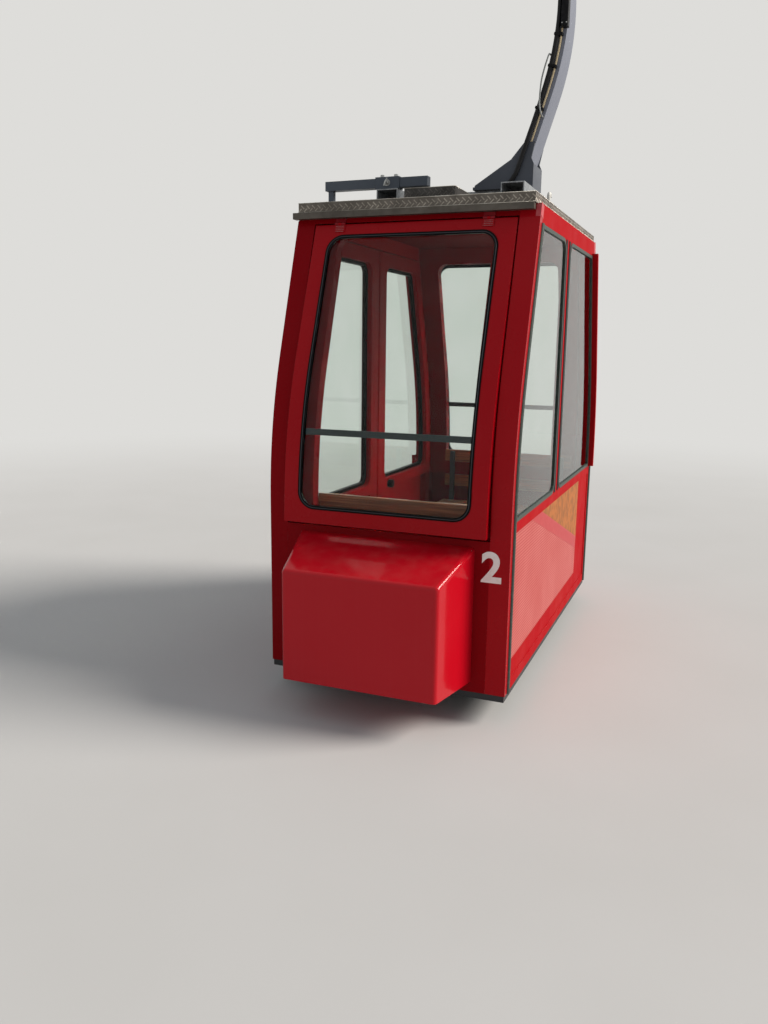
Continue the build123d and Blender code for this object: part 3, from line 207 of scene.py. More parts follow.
# Body: posts, end walls, side wall and door surround are welded steel sheet, sprayed in a deep signal red.
# The right posts keep their gloss, the ends and the left posts are dull and painted a darker red as painted
# shade, and the sides have gone matt in the sun.
PINK_CHIP = "#B87870"
signal_red = enamel("signal_red_enamel", "#A20714", "#A81A20", PINK_CHIP, shine=0.08, wear=0.5)
dress(signal_red, "corner_posts_right")
# Painted shade: the ends and the left posts get a darker red than the right posts.
shade_darkened_red = enamel("shade_darkened_red_enamel", "#86050F", "#8E161A", PINK_CHIP, shine=0.04, coat=0.0,
                    wear=0.5)
dress(shade_darkened_red, "corner_posts_left", "end_walls")
chalky_red = enamel("chalky_red_enamel", "#A20A14", "#AC241F", PINK_CHIP, gloss=(0.5, 0.65), shine=0.03,
                    coat=0.0, wear=0.5)
dress(chalky_red, "side_wall_right", "door_surround", "rub_strip")

# Corner gaskets: a round grey-green rubber bead closes the joint between each right corner post and the
# glazed side wall. It is pressed in over the whole height, along the curve of the end.
ENDS = (("front", -1), ("rear", 1))
GASKET_RADIUS, GASKET_INSET, GASKET_HEIGHT, GASKET_SPANS = 12 * MM, 54 * MM, 2.177, 32
BODY_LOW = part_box("corner_posts_left")[0].z
HALF_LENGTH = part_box("corner_posts_left")[1].y
HALF_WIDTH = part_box("corner_posts_right")[1].x
# Curve of the end faces, which the trim on them follows: upright, then a bend, then leaning in.
BEND_START, BEND_RADIUS, LEAN = BODY_LOW + 0.850, 2.330, radians(17.5)


def end_y(height, inset=0.0):
    """Distance of an end face from the middle at a height, moved in square to itself."""
    radius, rise = BEND_RADIUS - inset, height - BEND_START
    middle = HALF_LENGTH - BEND_RADIUS
    if rise <= 0:
        return middle + radius
    if rise <= radius * sin(LEAN):
        return middle + sqrt(radius ** 2 - rise ** 2)
    return middle + radius * cos(LEAN) - (rise - radius * sin(LEAN)) * tan(LEAN)


def heights(low, high, spans):
    """Heights from low to high in equal steps."""
    return [low + (high - low) * step / spans for step in range(spans + 1)]


def rubber(name, colour, bloom, roughness=0.5, shine=0.2):
    """Extruded rubber: a soft shine, a grey bloom that comes out in patches with age, and a fine grit, which
    is drawn coarser than it is, so that it shows."""
    material, place = new_finish(name, Roughness=roughness, IOR=1.52, Specular_IOR_Level=shine)
    aged = blotches(material, place, 25, 0.5, 0.75, 0.5, 6.0)
    shade = add_node(material, "Mix", {0: aged, 6: colour, 7: bloom}, out=2, data_type="RGBA")
    grit = blotches(material, place, 1.5, 0.0, 1.0, detail=2.0)
    return complete(material, shade, height=grit, depth_mm=0.03)


def strip(points, radius, closed=True):
    """A round strip bent along points."""
    bpy.ops.curve.primitive_nurbs_path_add()
    piece = bpy.context.object
    curve = piece.data
    curve.splines.clear()
    curve.bevel_depth, curve.bevel_resolution = radius, 2
    line = curve.splines.new("POLY")
    line.points.add(len(points) - 1)
    for corner, point in zip(line.points, points):
        corner.co = (*point, 1.0)
    line.use_cyclic_u = closed
    curve.use_fill_caps = not closed
    return piece


def alone(piece):
    """Makes a piece the only selected one."""
    bpy.ops.object.select_all(action="DESELECT")
    piece.select_set(True)
    bpy.context.view_layer.objects.active = piece


def finished(piece, name, material, body):
    """Ends a piece: its place goes into its mesh, and it gets its name, finish, body and material slot."""
    alone(piece)
    if piece.type != "MESH":
        bpy.ops.object.convert(target="MESH")
    for modifier in list(piece.modifiers):
        bpy.ops.object.modifier_apply(modifier=modifier.name)
    bpy.ops.object.transform_apply(location=True, rotation=True, scale=True)
    piece.name = piece.data.name = name
    piece.data.materials.clear()
    piece.data.materials.append(material)
    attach(piece, body)
    return piece


grey_green_rubber = rubber("grey_green_rubber", "#3E4742", "#566059")
dress(grey_green_rubber, "side_seals_right")
for end, side in ENDS:
    line = [(HALF_WIDTH - 1 * MM, side * end_y(height, GASKET_INSET), height)
            for height in heights(BODY_LOW, BODY_LOW + GASKET_HEIGHT, GASKET_SPANS)]
    finished(strip(line, GASKET_RADIUS, closed=False), f"corner_gasket_{end}", grey_green_rubber, "cabin")

# Corner caps: a small bent plate covers the welded joint of post and top rail at each right corner. Its
# paler red is a painted highlight, where light catches the top of the corner.
BODY_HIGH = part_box("corner_posts_right")[1].z
CAP_WIDTH, CAP_LENGTH, CAP_HEIGHT = 24 * MM, 52 * MM, 60 * MM
CAP_SHEET, CAP_PROUD, CAP_ROUND = 2 * MM, 1 * MM, 0.6 * MM


def joined(pieces):
    """One object of several, in the first one's frame."""
    bpy.ops.object.select_all(action="DESELECT")
    for piece in pieces:
        piece.select_set(True)
    bpy.context.view_layer.objects.active = pieces[0]
    if len(pieces) > 1:
        bpy.ops.object.join()
    return bpy.context.object


def rounded_block(middle, size, radius, rotation=(0, 0, 0)):
    """A block with rounded edges at a place, turned about its own middle."""
    bpy.ops.mesh.primitive_cube_add(size=1, location=middle, rotation=rotation)
    block = bpy.context.object
    block.scale = size
    bpy.ops.object.transform_apply(location=False, rotation=False, scale=True)
    bpy.ops.object.mode_set(mode="EDIT")
    bpy.ops.mesh.select_all(action="SELECT")
    bpy.ops.mesh.bevel(offset=radius, segments=2)
    bpy.ops.object.mode_set(mode="OBJECT")
    return block


def brushed_film(name, colour, worn, roughness, patch_mm=30):
    """A thin even coat, such as vinyl film or paint: flat colour with faint cloudy wear."""
    material, place = new_finish(name, Roughness=roughness, IOR=1.48, Specular_IOR_Level=0.1)
    share = blotches(material, place, patch_mm, 0.45, 0.75, 0.6, 5.0)
    shade = add_node(material, "Mix", {0: share, 6: colour, 7: worn}, out=2, data_type="RGBA")
    return complete(material, shade)


# The caps' pale red is a painted highlight.
painted_highlight_red = brushed_film("painted_highlight_red", "#B84C52", "#C46C6C", 0.4)
for end, side in ENDS:
    height = BODY_HIGH - CAP_HEIGHT / 2 - CAP_PROUD
    face_y = side * end_y(height)
    on_end = rounded_block((HALF_WIDTH - CAP_WIDTH / 2 + CAP_PROUD, face_y, height),
                           (CAP_WIDTH, CAP_SHEET, CAP_HEIGHT), CAP_ROUND, (side * LEAN, 0, 0))
    on_side = rounded_block((HALF_WIDTH, face_y - side * CAP_LENGTH / 2, height),
                            (CAP_SHEET, CAP_LENGTH, CAP_HEIGHT), CAP_ROUND, (side * LEAN, 0, 0))
    finished(joined([on_end, on_side]), f"corner_cap_{end}", painted_highlight_red, "cabin")

# Glazing: panes of toughened glass, pulled into their cut-outs in rubber, clear with a faint green tint and
# a few dull wipe marks. Their IOR is low, so that the pale studio's reflection doesn't hide the inside.
WIPE_MARKS = 0.012
toughened_glass, place = new_finish("toughened_glass", Transmission_Weight=1.0, IOR=1.2)
clouds = blotches(toughened_glass, place, 300, 0.3, 0.7)
shade = add_node(toughened_glass, "Mix", {0: clouds, 6: "#E9F0EB", 7: "#EFF4F1"}, out=2, data_type="RGBA")
marks = blotches(toughened_glass, place, 90, 0.5, 0.8, WIPE_MARKS, 5.0, (1, 1, 2.5))
dress(complete(toughened_glass, shade, marks), "side_glass_right", "flap_glass_front", "flap_glass_rear",
      "door_glass_front", "door_glass_rear")

# Mullion lips: the rubber of each side window laps over the mullion between them, and leaves a narrow red
# face. The lips are flat, with a rounded edge.
LIP_HEIGHT, LIP_MIDDLE, LIP_THICK, LIP_ROUND = 1.352, BODY_LOW + 1.501, 5 * MM, 1.6 * MM
LIP_EDGES = ((-0.172, -0.137), (-0.085, -0.048))        # front and rear edge of each, along the track
lips = [rounded_block((HALF_WIDTH + 1 * MM, (low + high) / 2, LIP_MIDDLE),
                      (LIP_THICK, high - low, LIP_HEIGHT), LIP_ROUND) for low, high in LIP_EDGES]
black_rubber = rubber("black_window_rubber", "#050506", "#0C0C0D", 0.4, shine=0.06)
finished(joined(lips), "mullion_lips", black_rubber, "cabin")

# Side films: printed vinyl films cover most of the recessed panel below the side windows. They are plain
# fields here: a washed light red one with fine lines, and across it a red band below a gold field.
PANEL_X, FILM_SHEET = HALF_WIDTH - 4 * MM, 0.4 * MM
FILM_FRONT, FILM_REAR, FILM_LOW, FILM_HIGH = -1.045, 0.700, 0.150, 0.768
LINE_PITCH = 15 * MM
WAVE_PERIOD = 2 * pi / 20       # of a wave texture at a scale of 1


def cut_film(name, layer, low, high, cuts, material):
    """A film on the side panel between two corners along the track and up, cut off beyond some lines."""
    (y1, z1), (y2, z2) = low, high
    middle = (PANEL_X + layer * FILM_SHEET, (y1 + y2) / 2, BODY_LOW + (z1 + z2) / 2)
    bpy.ops.mesh.primitive_plane_add(size=1, rotation=(0, pi / 2, 0), location=middle)
    film = bpy.context.object
    film.scale = (z2 - z1, y2 - y1, 1)
    bpy.ops.object.transform_apply(location=True, rotation=True, scale=True)
    bpy.ops.object.mode_set(mode="EDIT")
    for (y, z), (outward_y, outward_z) in cuts:
        bpy.ops.mesh.select_all(action="SELECT")
        bpy.ops.mesh.bisect(plane_co=(PANEL_X, y, BODY_LOW + z), plane_no=(0, outward_y, outward_z),
                            clear_outer=True)
    bpy.ops.object.mode_set(mode="OBJECT")
    sheet = film.modifiers.new("sheet", "SOLIDIFY")
    sheet.thickness, sheet.offset = FILM_SHEET, 1.0
    return finished(film, name, material, "cabin")


washed_film, place = new_finish("washed_red_film", Roughness=0.4, IOR=1.48, Specular_IOR_Level=0.05)
waves = {"Vector": place, "Scale": WAVE_PERIOD / LINE_PITCH, "Distortion": 1.2, "Detail": 2.0,
         "Detail Scale": 0.4}
lines = add_node(washed_film, "TexWave", waves, out="Fac", bands_direction="Z")
lines = {"Value": lines, "From Min": 0.55, "From Max": 0.95, "To Max": 0.85}
lines = add_node(washed_film, "MapRange", lines)
clouds = blotches(washed_film, place, 240, 0.35, 0.7)
shade = add_node(washed_film, "Mix", {0: clouds, 6: "#B45C56", 7: "#BE6C66"}, out=2, data_type="RGBA")
shade = add_node(washed_film, "Mix", {0: lines, 6: shade, 7: "#A41C26"}, out=2, data_type="RGBA")
complete(washed_film, shade)
gold_film, place = new_finish("mottled_gold_film", Roughness=0.4, IOR=1.48, Specular_IOR_Level=0.05)
mottles = blotches(gold_film, place, 45, 0.42, 0.62, 0.85, 6.0)
shade = add_node(gold_film, "Mix", {0: mottles, 6: "#AC6630", 7: "#86532A"}, out=2, data_type="RGBA")
complete(gold_film, shade)
red_film = brushed_film("bright_red_film", "#B01C22", "#B83C3A", 0.28)
# The cut below the gold field falls to the rear, and the red band lies along it.
CUT_FRONT, CUT_LOW, BAND_FRONT, BAND_LOW, BAND_WIDTH = -0.450, 0.400, -0.700, 0.300, 0.075
cut_start = Vector((CUT_FRONT, FILM_HIGH))
below = Vector((CUT_LOW - FILM_HIGH, CUT_FRONT - FILM_REAR)).normalized()
top_rear = (FILM_REAR, FILM_HIGH)
cut_film("side_film_field", 0, (FILM_FRONT, FILM_LOW), top_rear, (), washed_film)
cut_film("side_film_gold", 1, (CUT_FRONT, CUT_LOW), top_rear, ((cut_start, below),), gold_film)
cut_film("side_film_band", 1, (BAND_FRONT, BAND_LOW), top_rear,
         ((cut_start, -below), (cut_start + BAND_WIDTH * below, below)), red_film)

# Window flaps: each end window is a welded frame that hangs on two hinges under the roof and stands a
# little open on its stop. Its pane sits in a black rubber ring, which a thin shiny locking strip spreads;
# the strip is dark grey, which is partly a painted reflection.
FLAP_LOW, FLAP_HIGH = BODY_LOW + 0.746, BODY_LOW + 2.205
FLAP_WINDOW = (0.440, FLAP_LOW + 0.070, FLAP_HIGH - 0.052, 0.086)     # half width, sill, head, corner radius
HINGE_Z = FLAP_HIGH + 3.5 * MM
FLAP_AJAR = radians(2.0)
STRIP_INSET, STRIP_RADIUS, STRIP_PROUD = 9 * MM, 2.2 * MM, 3 * MM
HINGE_PROUD, CORNER_STEPS, SIDE_SPANS = 6 * MM, 6, 12
dress(signal_red, "flap_frame_front", "flap_frame_rear")
dress(black_rubber, "flap_seal_front", "flap_seal_rear", "door_seal_front", "door_seal_rear")
dress(enamel("grey_bar_enamel", "#4C5154", "#5E6264", gloss=(0.35, 0.5), coat=0.0),
      "flap_bar_front", "flap_bar_rear")


def swung(point):
    """Where a point of the rear flap is when the flap stands on its ventilation stop."""
    line = Vector((point.x, end_y(HINGE_Z, -HINGE_PROUD), HINGE_Z))
    return line + Matrix.Rotation(FLAP_AJAR, 3, "X") @ (point - line)


def window_line(half_width, low, high, radius, inset):
    """Points round a rounded window, laid on the curve of the end face. They go round against the clock, and
    turns 1 and 3 end in a long side, which gets points of its own."""
    points = []
    corners = ((half_width, high), (-half_width, high), (-half_width, low), (half_width, low))
    for turn, (x, z) in enumerate(corners):
        centre_x, centre_z = x - radius * (1 if x > 0 else -1), z + radius * (1 if z == low else -1)
        for step in range(CORNER_STEPS + 1):
            angle = (turn + step / CORNER_STEPS) * pi / 2
            points.append((centre_x + radius * cos(angle), centre_z + radius * sin(angle)))
        if turn in (1, 3):
            stop = low + radius if turn == 1 else high - radius
            points += [(x, z) for z in heights(centre_z, stop, SIDE_SPANS)[1:-1]]
    return [Vector((x, end_y(z, inset), z)) for x, z in points]


# The locking strip's grey is partly a painted reflection.
locking_rubber_with_painted_sheen = rubber("painted_sheen_locking_strip", "#3C3E43", "#303236", 0.1)
half_width, sill, head, radius = FLAP_WINDOW
for end, side in ENDS:
    line = window_line(half_width - STRIP_INSET, sill + STRIP_INSET, head - STRIP_INSET, radius - STRIP_INSET,
                       -STRIP_PROUD)
    line = [swung(point) for point in line]
    line = [Vector((point.x, side * point.y, point.z)) for point in line]
    finished(strip(line, STRIP_RADIUS), f"locking_strip_{end}", locking_rubber_with_painted_sheen, f"flap_{end}")

# Flap hinges: each is a stamped leaf with cross ribs; the leaf's paint is rubbed in spots, and the ribs are
# drawn in a paler pink than the leaf.
HINGE_X, RIB_COUNT, RIB_PITCH, RIB_DROP = 380 * MM, 4, 8.5 * MM, 13 * MM
RIB_SIZE, RIB_ROUND, RIB_PROUD = (44 * MM, 3 * MM, 3.8 * MM), 1.2 * MM, 5.4 * MM
dress(enamel("rubbed_hinge_enamel", "#8E1822", "#9E4A48", chip="#9F8F8A", gloss=(0.35, 0.5)), "flap_hinges")
rib_paint = brushed_film("pale_rib_paint", "#9C4A4C", "#B08884", 0.45, 8)
for end, side in ENDS:
    ribs = []
    for x in (-HINGE_X, HINGE_X):
        for rib in range(RIB_COUNT):
            height = HINGE_Z - RIB_DROP - rib * RIB_PITCH
            middle = swung(Vector((x, end_y(height, -RIB_PROUD), height)))
            middle.y *= side
            ribs.append(rounded_block(middle, RIB_SIZE, RIB_ROUND, (side * LEAN, 0, 0)))
    finished(joined(ribs), f"hinge_ribs_{end}", rib_paint, f"flap_{end}")

# Equipment boxes: a folded sheet housing on each end wall, wider at the wall, with a sloping top that
# sheds rain. They are a brighter red than the body and wiped clean, so they reflect the most.
dress(enamel("equipment_box_enamel", "#B60B1C", "#BC232B", chip="#D8A8A2", gloss=(0.08, 0.16), coat=0.16,
             fading=0.15, dust=0.04, wear=0.8), "equipment_boxes")

# Car number: a plain numeral cut from white vinyl film and stuck beside the equipment box, over the joint
# of end wall and corner post. The film has yellowed a little.
NUMERAL_HEIGHT, NUMERAL_X, NUMERAL_Z = 148 * MM, 534 * MM, BODY_LOW + 612 * MM
BOLDNESS, DEPTH, FLATTENED = 0.028, 0.002, 0.2      # of the numeral before it is scaled
vinyl_white = brushed_film("white_vinyl_film", "#F2EFEA", "#DAD4C8", 0.35)
for end, side in ENDS:
    bpy.ops.object.text_add(rotation=(pi / 2, 0, 0 if side < 0 else pi))
    numeral = bpy.context.object
    numeral.data.body = "2"
    numeral.data.align_x, numeral.data.align_y = "CENTER", "CENTER"
    numeral.data.offset, numeral.data.extrude = BOLDNESS, DEPTH
    bpy.context.view_layer.update()
    size = NUMERAL_HEIGHT / numeral.dimensions.y
    numeral.scale = (size, size, FLATTENED)
    numeral.location = (NUMERAL_X, side * (HALF_LENGTH + 0.6 * MM), NUMERAL_Z)
    finished(numeral, f"car_number_{end}", vinyl_white, "cabin")

# Doors: two hinged leaves of pressed steel with rubber-framed windows. Black rubber lips close the gap
# between them, and a round black knob works the latch from inside.
LIP_LOW, LIP_HIGH = BODY_LOW + 0.102, BODY_LOW + 2.163
LIP_DEEP, LIP_WIDE, LIP_EDGE, LIP_Y = 30 * MM, 8.8 * MM, 1.5 * MM, 5 * MM
LIP_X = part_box("door_glass_front")[0].x + 12 * MM
dress(enamel("door_enamel", "#980812", "#A01C20", PINK_CHIP, gloss=(0.40, 0.55), shine=0.06, coat=0.0,
             wear=0.5), "door_frame_front", "door_frame_rear", "door_hinges")
black_plastic = brushed_film("black_moulded_plastic", "#121214", "#2A2A2B", 0.35, 20)
dress(black_plastic, "door_latch", "junction_box", "cable_glands")
for end, side in ENDS:
    lip = rounded_block((LIP_X, side * LIP_Y, (LIP_LOW + LIP_HIGH) / 2),
                        (LIP_DEEP, LIP_WIDE, LIP_HIGH - LIP_LOW), LIP_EDGE)
    finished(lip, f"meeting_lip_{end}", black_rubber, f"door_{end}")

# Door frame bead: a hollow rubber bead in the door opening, against which both leaves close. It goes round
# the whole opening, along the curve of its upright edges.
BEAD_X, BEAD_RADIUS, BEAD_INSET, BEAD_SPANS = -0.530, 2.9 * MM, 152.8 * MM, 24
BEAD_LOW, BEAD_HIGH = BODY_LOW + 0.0959, BODY_LOW + 2.1692
line = [(BEAD_X, end_y(height, BEAD_INSET), height) for height in heights(BEAD_LOW, BEAD_HIGH, BEAD_SPANS)]
line += [(BEAD_X, -y, height) for x, y, height in reversed(line)]
finished(strip(line, BEAD_RADIUS), "door_frame_bead", black_rubber, "cabin")

# Door hinge screws: zinc-plated screws with a low round head hold the fixed leaf of each hinge on its
# corner post, in a block of four.
SCREW_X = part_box("door_hinges")[0].x + 16 * MM
SCREW_Y, SCREW_Z = (1.015, 1.038), (0.224, 0.316, 0.724, 0.816)
ZINC_CRYSTAL = 14 * MM


def pick(piece, test):
    """Selects, in edit mode, the faces whose middle and normal pass a test."""
    alone(piece)
    bpy.ops.object.mode_set(mode="EDIT")
    bpy.context.tool_settings.mesh_select_mode = (False, False, True)
    bpy.ops.mesh.select_all(action="DESELECT")
    bpy.ops.object.mode_set(mode="OBJECT")
    for face in piece.data.polygons:
        face.select = test(face.center, face.normal)
    bpy.ops.object.mode_set(mode="EDIT")


def zinc(name, colour, dark):
    """Zinc on steel, hot dipped or plated: grey metal in flat crystals, each of its own shade."""
    material, place = new_finish(name, Metallic=0.6)
    grid = add_node(material, "Mapping", {"Vector": place, "Scale": (1 / ZINC_CRYSTAL,) * 3})
    tone = add_node(material, "TexVoronoi", {"Vector": grid, "Scale": 1.0}, out="Color")
    tone = add_node(material, "SeparateXYZ", {0: tone}, out="X")
    share = add_node(material, "Math", {0: tone, 1: 0.6}, operation="MULTIPLY")
    shade = add_node(material, "Mix", {0: share, 6: colour, 7: dark}, out=2, data_type="RGBA")
    stain = blotches(material, place, 120, 0.5, 0.75, 0.5, 5.0)
    shade = add_node(material, "Mix", {0: stain, 6: shade, 7: dark}, out=2, data_type="RGBA")
    dull = add_node(material, "MapRange", {"Value": tone, "To Min": 0.42, "To Max": 0.62})
    return complete(material, shade, dull, tone, 0.02)


def round_head(width, height):
    """A domed head, facing up at the origin."""
    bpy.ops.mesh.primitive_uv_sphere_add(segments=14, ring_count=8, radius=width / 2)
    dome = bpy.context.object
    pick(dome, lambda middle, normal: middle.z < 0)
    bpy.ops.mesh.delete(type="FACE")
    bpy.ops.mesh.select_all(action="SELECT")
    bpy.ops.mesh.region_to_loop()
    bpy.ops.mesh.edge_face_add()
    bpy.ops.object.mode_set(mode="OBJECT")
    dome.scale = (1, 1, 2 * height / width)
    bpy.ops.object.transform_apply(location=True, rotation=True, scale=True)
    bpy.ops.object.shade_smooth_by_angle(angle=radians(40))
    return dome


bolt_zinc = zinc("zinc_plated_bolt", "#B4B6B4", "#85888A")


def fasteners(name, model, places, body="cabin"):
    """Copies of one zinc-plated head at places given as point and direction, joined into one piece."""
    copies = []
    for point, facing in places:
        copy = model.copy()
        copy.data = model.data.copy()
        bpy.context.collection.objects.link(copy)
        turn = Vector(facing).to_track_quat("Z", "Y").to_matrix().to_4x4()
        copy.matrix_world = Matrix.Translation(point) @ turn
        copies.append(copy)
    whole = joined(copies)
    bpy.data.objects.remove(model)
    return finished(whole, name, bolt_zinc, body)


screws = [((SCREW_X, side * y, BODY_LOW + z), (-1, 0, 0))
          for side in (-1, 1) for y in SCREW_Y for z in SCREW_Z]
fasteners("door_hinge_screws", round_head(9 * MM, 2.2 * MM), screws)

# Roof: a tray folded from aluminium tread plate, its edge turned down all round, above a drip strip at
# each end. Years outdoors have turned it grey-brown, and its cut lower edge is bright.
TREAD_PITCH, BAR_LONG, BAR_WIDE, BAR_HIGH = 30 * MM, 23 * MM, 5.5 * MM, 1.6 * MM
CELL_BARS, BAR_TOP = ((0.27, 1), (0.77, -1)), (0.72, 0.4, 1)     # middle and turn in a cell, taper to the top


def fine_pits(material, place):
    """Height of the pits that years outdoors leave."""
    return blotches(material, place, 4, 0.0, 1.0)


dress(aluminium("weathered_tread_plate", "#6A635A", "#4A443D", metal=0.2, relief=fine_pits, depth_mm=0.05),
      "roof_plate")
dress(aluminium("weathered_drip_strip", "#554F47", "#3E3831", metal=0.2), "drip_strips")
rubbed_bars = aluminium("rubbed_tread_bars", "#A8A094", "#6A6358", dull=(0.32, 0.5), metal=0.3)
cut_edge = aluminium("bright_cut_edge", "#C9C6BE", "#8E887C", dull=(0.3, 0.45))


def tread_bars(name, corner, across, up, width, height, body, material=rubbed_bars):
    """Raised bars of tread plate over a rectangle, from one corner, in rows that cross at right angles."""
    bars = []
    for share, turn in CELL_BARS:
        bpy.ops.mesh.primitive_cube_add(size=1)
        bar = bpy.context.object
        bar.scale = (BAR_LONG, BAR_WIDE, BAR_HIGH)
        bpy.ops.object.transform_apply(location=True, rotation=True, scale=True)
        pick(bar, lambda middle, normal: normal.z > 0.5)
        bpy.ops.transform.resize(value=BAR_TOP)
        bpy.ops.object.mode_set(mode="OBJECT")
        pick(bar, lambda middle, normal: normal.z < -0.5)
        bpy.ops.mesh.delete(type="ONLY_FACE")
        bpy.ops.object.mode_set(mode="OBJECT")
        bar.rotation_euler = (0, 0, turn * pi / 4)
        bar.location = (share * TREAD_PITCH, share * TREAD_PITCH, BAR_HIGH / 2)
        bars.append(bar)
    cell = joined(bars)
    bpy.ops.object.transform_apply(location=True, rotation=True, scale=True)
    for axis, length in ((0, width), (1, height)):
        row = cell.modifiers.new("row", "ARRAY")
        row.use_relative_offset, row.use_constant_offset = False, True
        row.constant_offset_displace = [TREAD_PITCH if axis == column else 0 for column in range(3)]
        row.count = max(1, int((length + 0.2 * TREAD_PITCH) / TREAD_PITCH))
        bpy.ops.object.modifier_apply(modifier="row")
    across, up = Vector(across), Vector(up)
    turn = Matrix((across, up, across.cross(up))).transposed()
    cell.matrix_world = Matrix.Translation(corner) @ turn.to_4x4()
    return finished(cell, name, material, body)


def rectangle(low, high, grow, height):
    """Corners of a level rectangle between two corners of a box, grown all round."""
    return [Vector((x, y, height)) for x, y in (
        (low.x - grow, low.y - grow), (high.x + grow, low.y - grow),
        (high.x + grow, high.y + grow), (low.x - grow, high.y + grow))]


EDGE_RADIUS = 1.5 * MM
roof_low, roof_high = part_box("roof_plate")
width, length, edge = roof_high.x - roof_low.x, roof_high.y - roof_low.y, roof_high.z - roof_low.z
edge_low = roof_low.z + 3 * MM
tread_bars("roof_tread", (roof_low.x, roof_low.y, roof_high.z), (1, 0, 0), (0, 1, 0), width, length, "cabin")
for name, corner, across, along in (("front", (roof_low.x, roof_low.y), (1, 0, 0), width),
                                    ("rear", (roof_high.x, roof_high.y), (-1, 0, 0), width),
                                    ("right", (roof_high.x, roof_low.y), (0, 1, 0), length),
                                    ("left", (roof_low.x, roof_high.y), (0, -1, 0), length)):
    tread_bars(f"roof_edge_{name}", (*corner, edge_low), across, (0, 0, 1), along, edge, "cabin")
for height, grow, name in ((roof_low.z + 1.2 * MM, 0.8 * MM, "roof_edge_lower"),
                           (roof_high.z - 1.0 * MM, 0.4 * MM, "roof_edge_upper")):
    corners = rectangle(roof_low, roof_high, grow, height)
    finished(strip(corners, EDGE_RADIUS), name, cut_edge, "cabin")

# Hatch box: a small box of the same plate on the roof, its lid hinged at the back. It is sooty, and only
# the folded edges of its lid are rubbed bright.
LID_DEPTH, FRONT_HEIGHT, FRONT_RAISED, LID_EDGE_RADIUS = 0.240, 0.055, 20 * MM, 1.6 * MM
dress(aluminium("sooty_tread_plate", "#4A4846", "#2E2C2A", metal=0.4), "roof_box", "roof_box_lid")
sooty_bars = aluminium("sooty_tread_bars", "#6C6965", "#3C3A37", metal=0.5)
lid_low, lid_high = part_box("roof_box_lid")
box_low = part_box("roof_box")[0]
lid_width = lid_high.x - lid_low.x
tread_bars("hatch_lid_tread", (lid_low.x, lid_low.y, lid_high.z), (1, 0, 0), (0, 1, 0), lid_width, LID_DEPTH,
           "box_lid", sooty_bars)
tread_bars("hatch_front_tread", (box_low.x, box_low.y, box_low.z + FRONT_RAISED), (1, 0, 0), (0, 0, 1),
           lid_width, FRONT_HEIGHT, "cabin", sooty_bars)
corners = rectangle(lid_low, Vector((lid_high.x, lid_low.y + LID_DEPTH)), 0, lid_high.z - 0.6 * MM)
finished(strip(corners, LID_EDGE_RADIUS), "hatch_lid_edge", cut_edge, "box_lid")

# Roof beams: two rectangular hollow sections on feet, joined by a cross beam, which carry the cabin on
# its hanger. They are hot-dip galvanised, so the zinc shows large crystals.
dress(zinc("hot_dip_zinc", "#A2A6A9", "#6A6E71"), "roof_beams")

# Cross bar: a square bar in a clamp sleeve on the left beam, dark grey, with a T-handled clamp screw on
# the sleeve's side and two bolts on top.
SCREW_REACH, SHANK_RADIUS, TOP_BOLT_X = 26 * MM, 4 * MM, 40 * MM
HANDLE_SIZE, HANDLE_ROUND, HANDLE_TURN = (8 * MM, 8 * MM, 44 * MM), 2.5 * MM, radians(25)
dress(enamel("dark_bar_enamel", "#565D66", "#666C72", gloss=(0.35, 0.5), coat=0.0),
      "cross_bar", "cross_bar_sleeve")
sleeve_low, sleeve_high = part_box("cross_bar_sleeve")
sleeve_x, sleeve_y, sleeve_z = (sleeve_low + sleeve_high) / 2


def hex_bolt(width, height):
    """A hexagon head with a raised round crown, on a washer, facing up at the origin."""
    bpy.ops.mesh.primitive_cylinder_add(vertices=6, radius=width / sqrt(3), depth=height,
                                        location=(0, 0, 0.7 * height))
    head = bpy.context.object
    bpy.ops.object.transform_apply(location=True, rotation=True, scale=True)
    pick(head, lambda middle, normal: normal.z > 0.5)
    bpy.ops.mesh.inset(thickness=0.12 * width)
    bpy.ops.transform.translate(value=(0, 0, 0.12 * height))
    bpy.ops.object.mode_set(mode="OBJECT")
    bpy.ops.mesh.primitive_cylinder_add(vertices=20, radius=0.95 * width, depth=0.2 * height,
                                        location=(0, 0, 0.1 * height))
    washer = bpy.context.object
    pick(washer, lambda middle, normal: normal.z > 0.5)
    bpy.ops.mesh.bevel(offset=0.05 * height)
    bpy.ops.object.mode_set(mode="OBJECT")
    return joined([head, washer])


fasteners("sleeve_bolts", hex_bolt(19 * MM, 12 * MM),
          [((sleeve_x, sleeve_low.y, sleeve_z), (0, -1, 0)), ((sleeve_x, sleeve_high.y, sleeve_z), (0, 1, 0)),
           ((sleeve_x - TOP_BOLT_X, sleeve_y, sleeve_high.z), (0, 0, 1)),
           ((sleeve_x + TOP_BOLT_X, sleeve_y, sleeve_high.z), (0, 0, 1))])
screw_end = (sleeve_x, sleeve_low.y - SCREW_REACH, sleeve_z)
shank = strip([(sleeve_x, sleeve_low.y, sleeve_z), screw_end], SHANK_RADIUS, closed=False)
alone(shank)
bpy.ops.object.convert(target="MESH")
handle = rounded_block(screw_end, HANDLE_SIZE, HANDLE_ROUND, (0, HANDLE_TURN, 0))
finished(joined([shank, handle]), "clamp_screw", bolt_zinc, "cabin")

# Gooseneck: a steel pipe on a round foot, bent over at the top, which leads a cable through the roof and
# keeps rain out. It is painted white.
dress(enamel("white_pipe_enamel", "#D9D8D2", "#B8B4A8", gloss=(0.3, 0.45), coat=0.0), "roof_gooseneck")

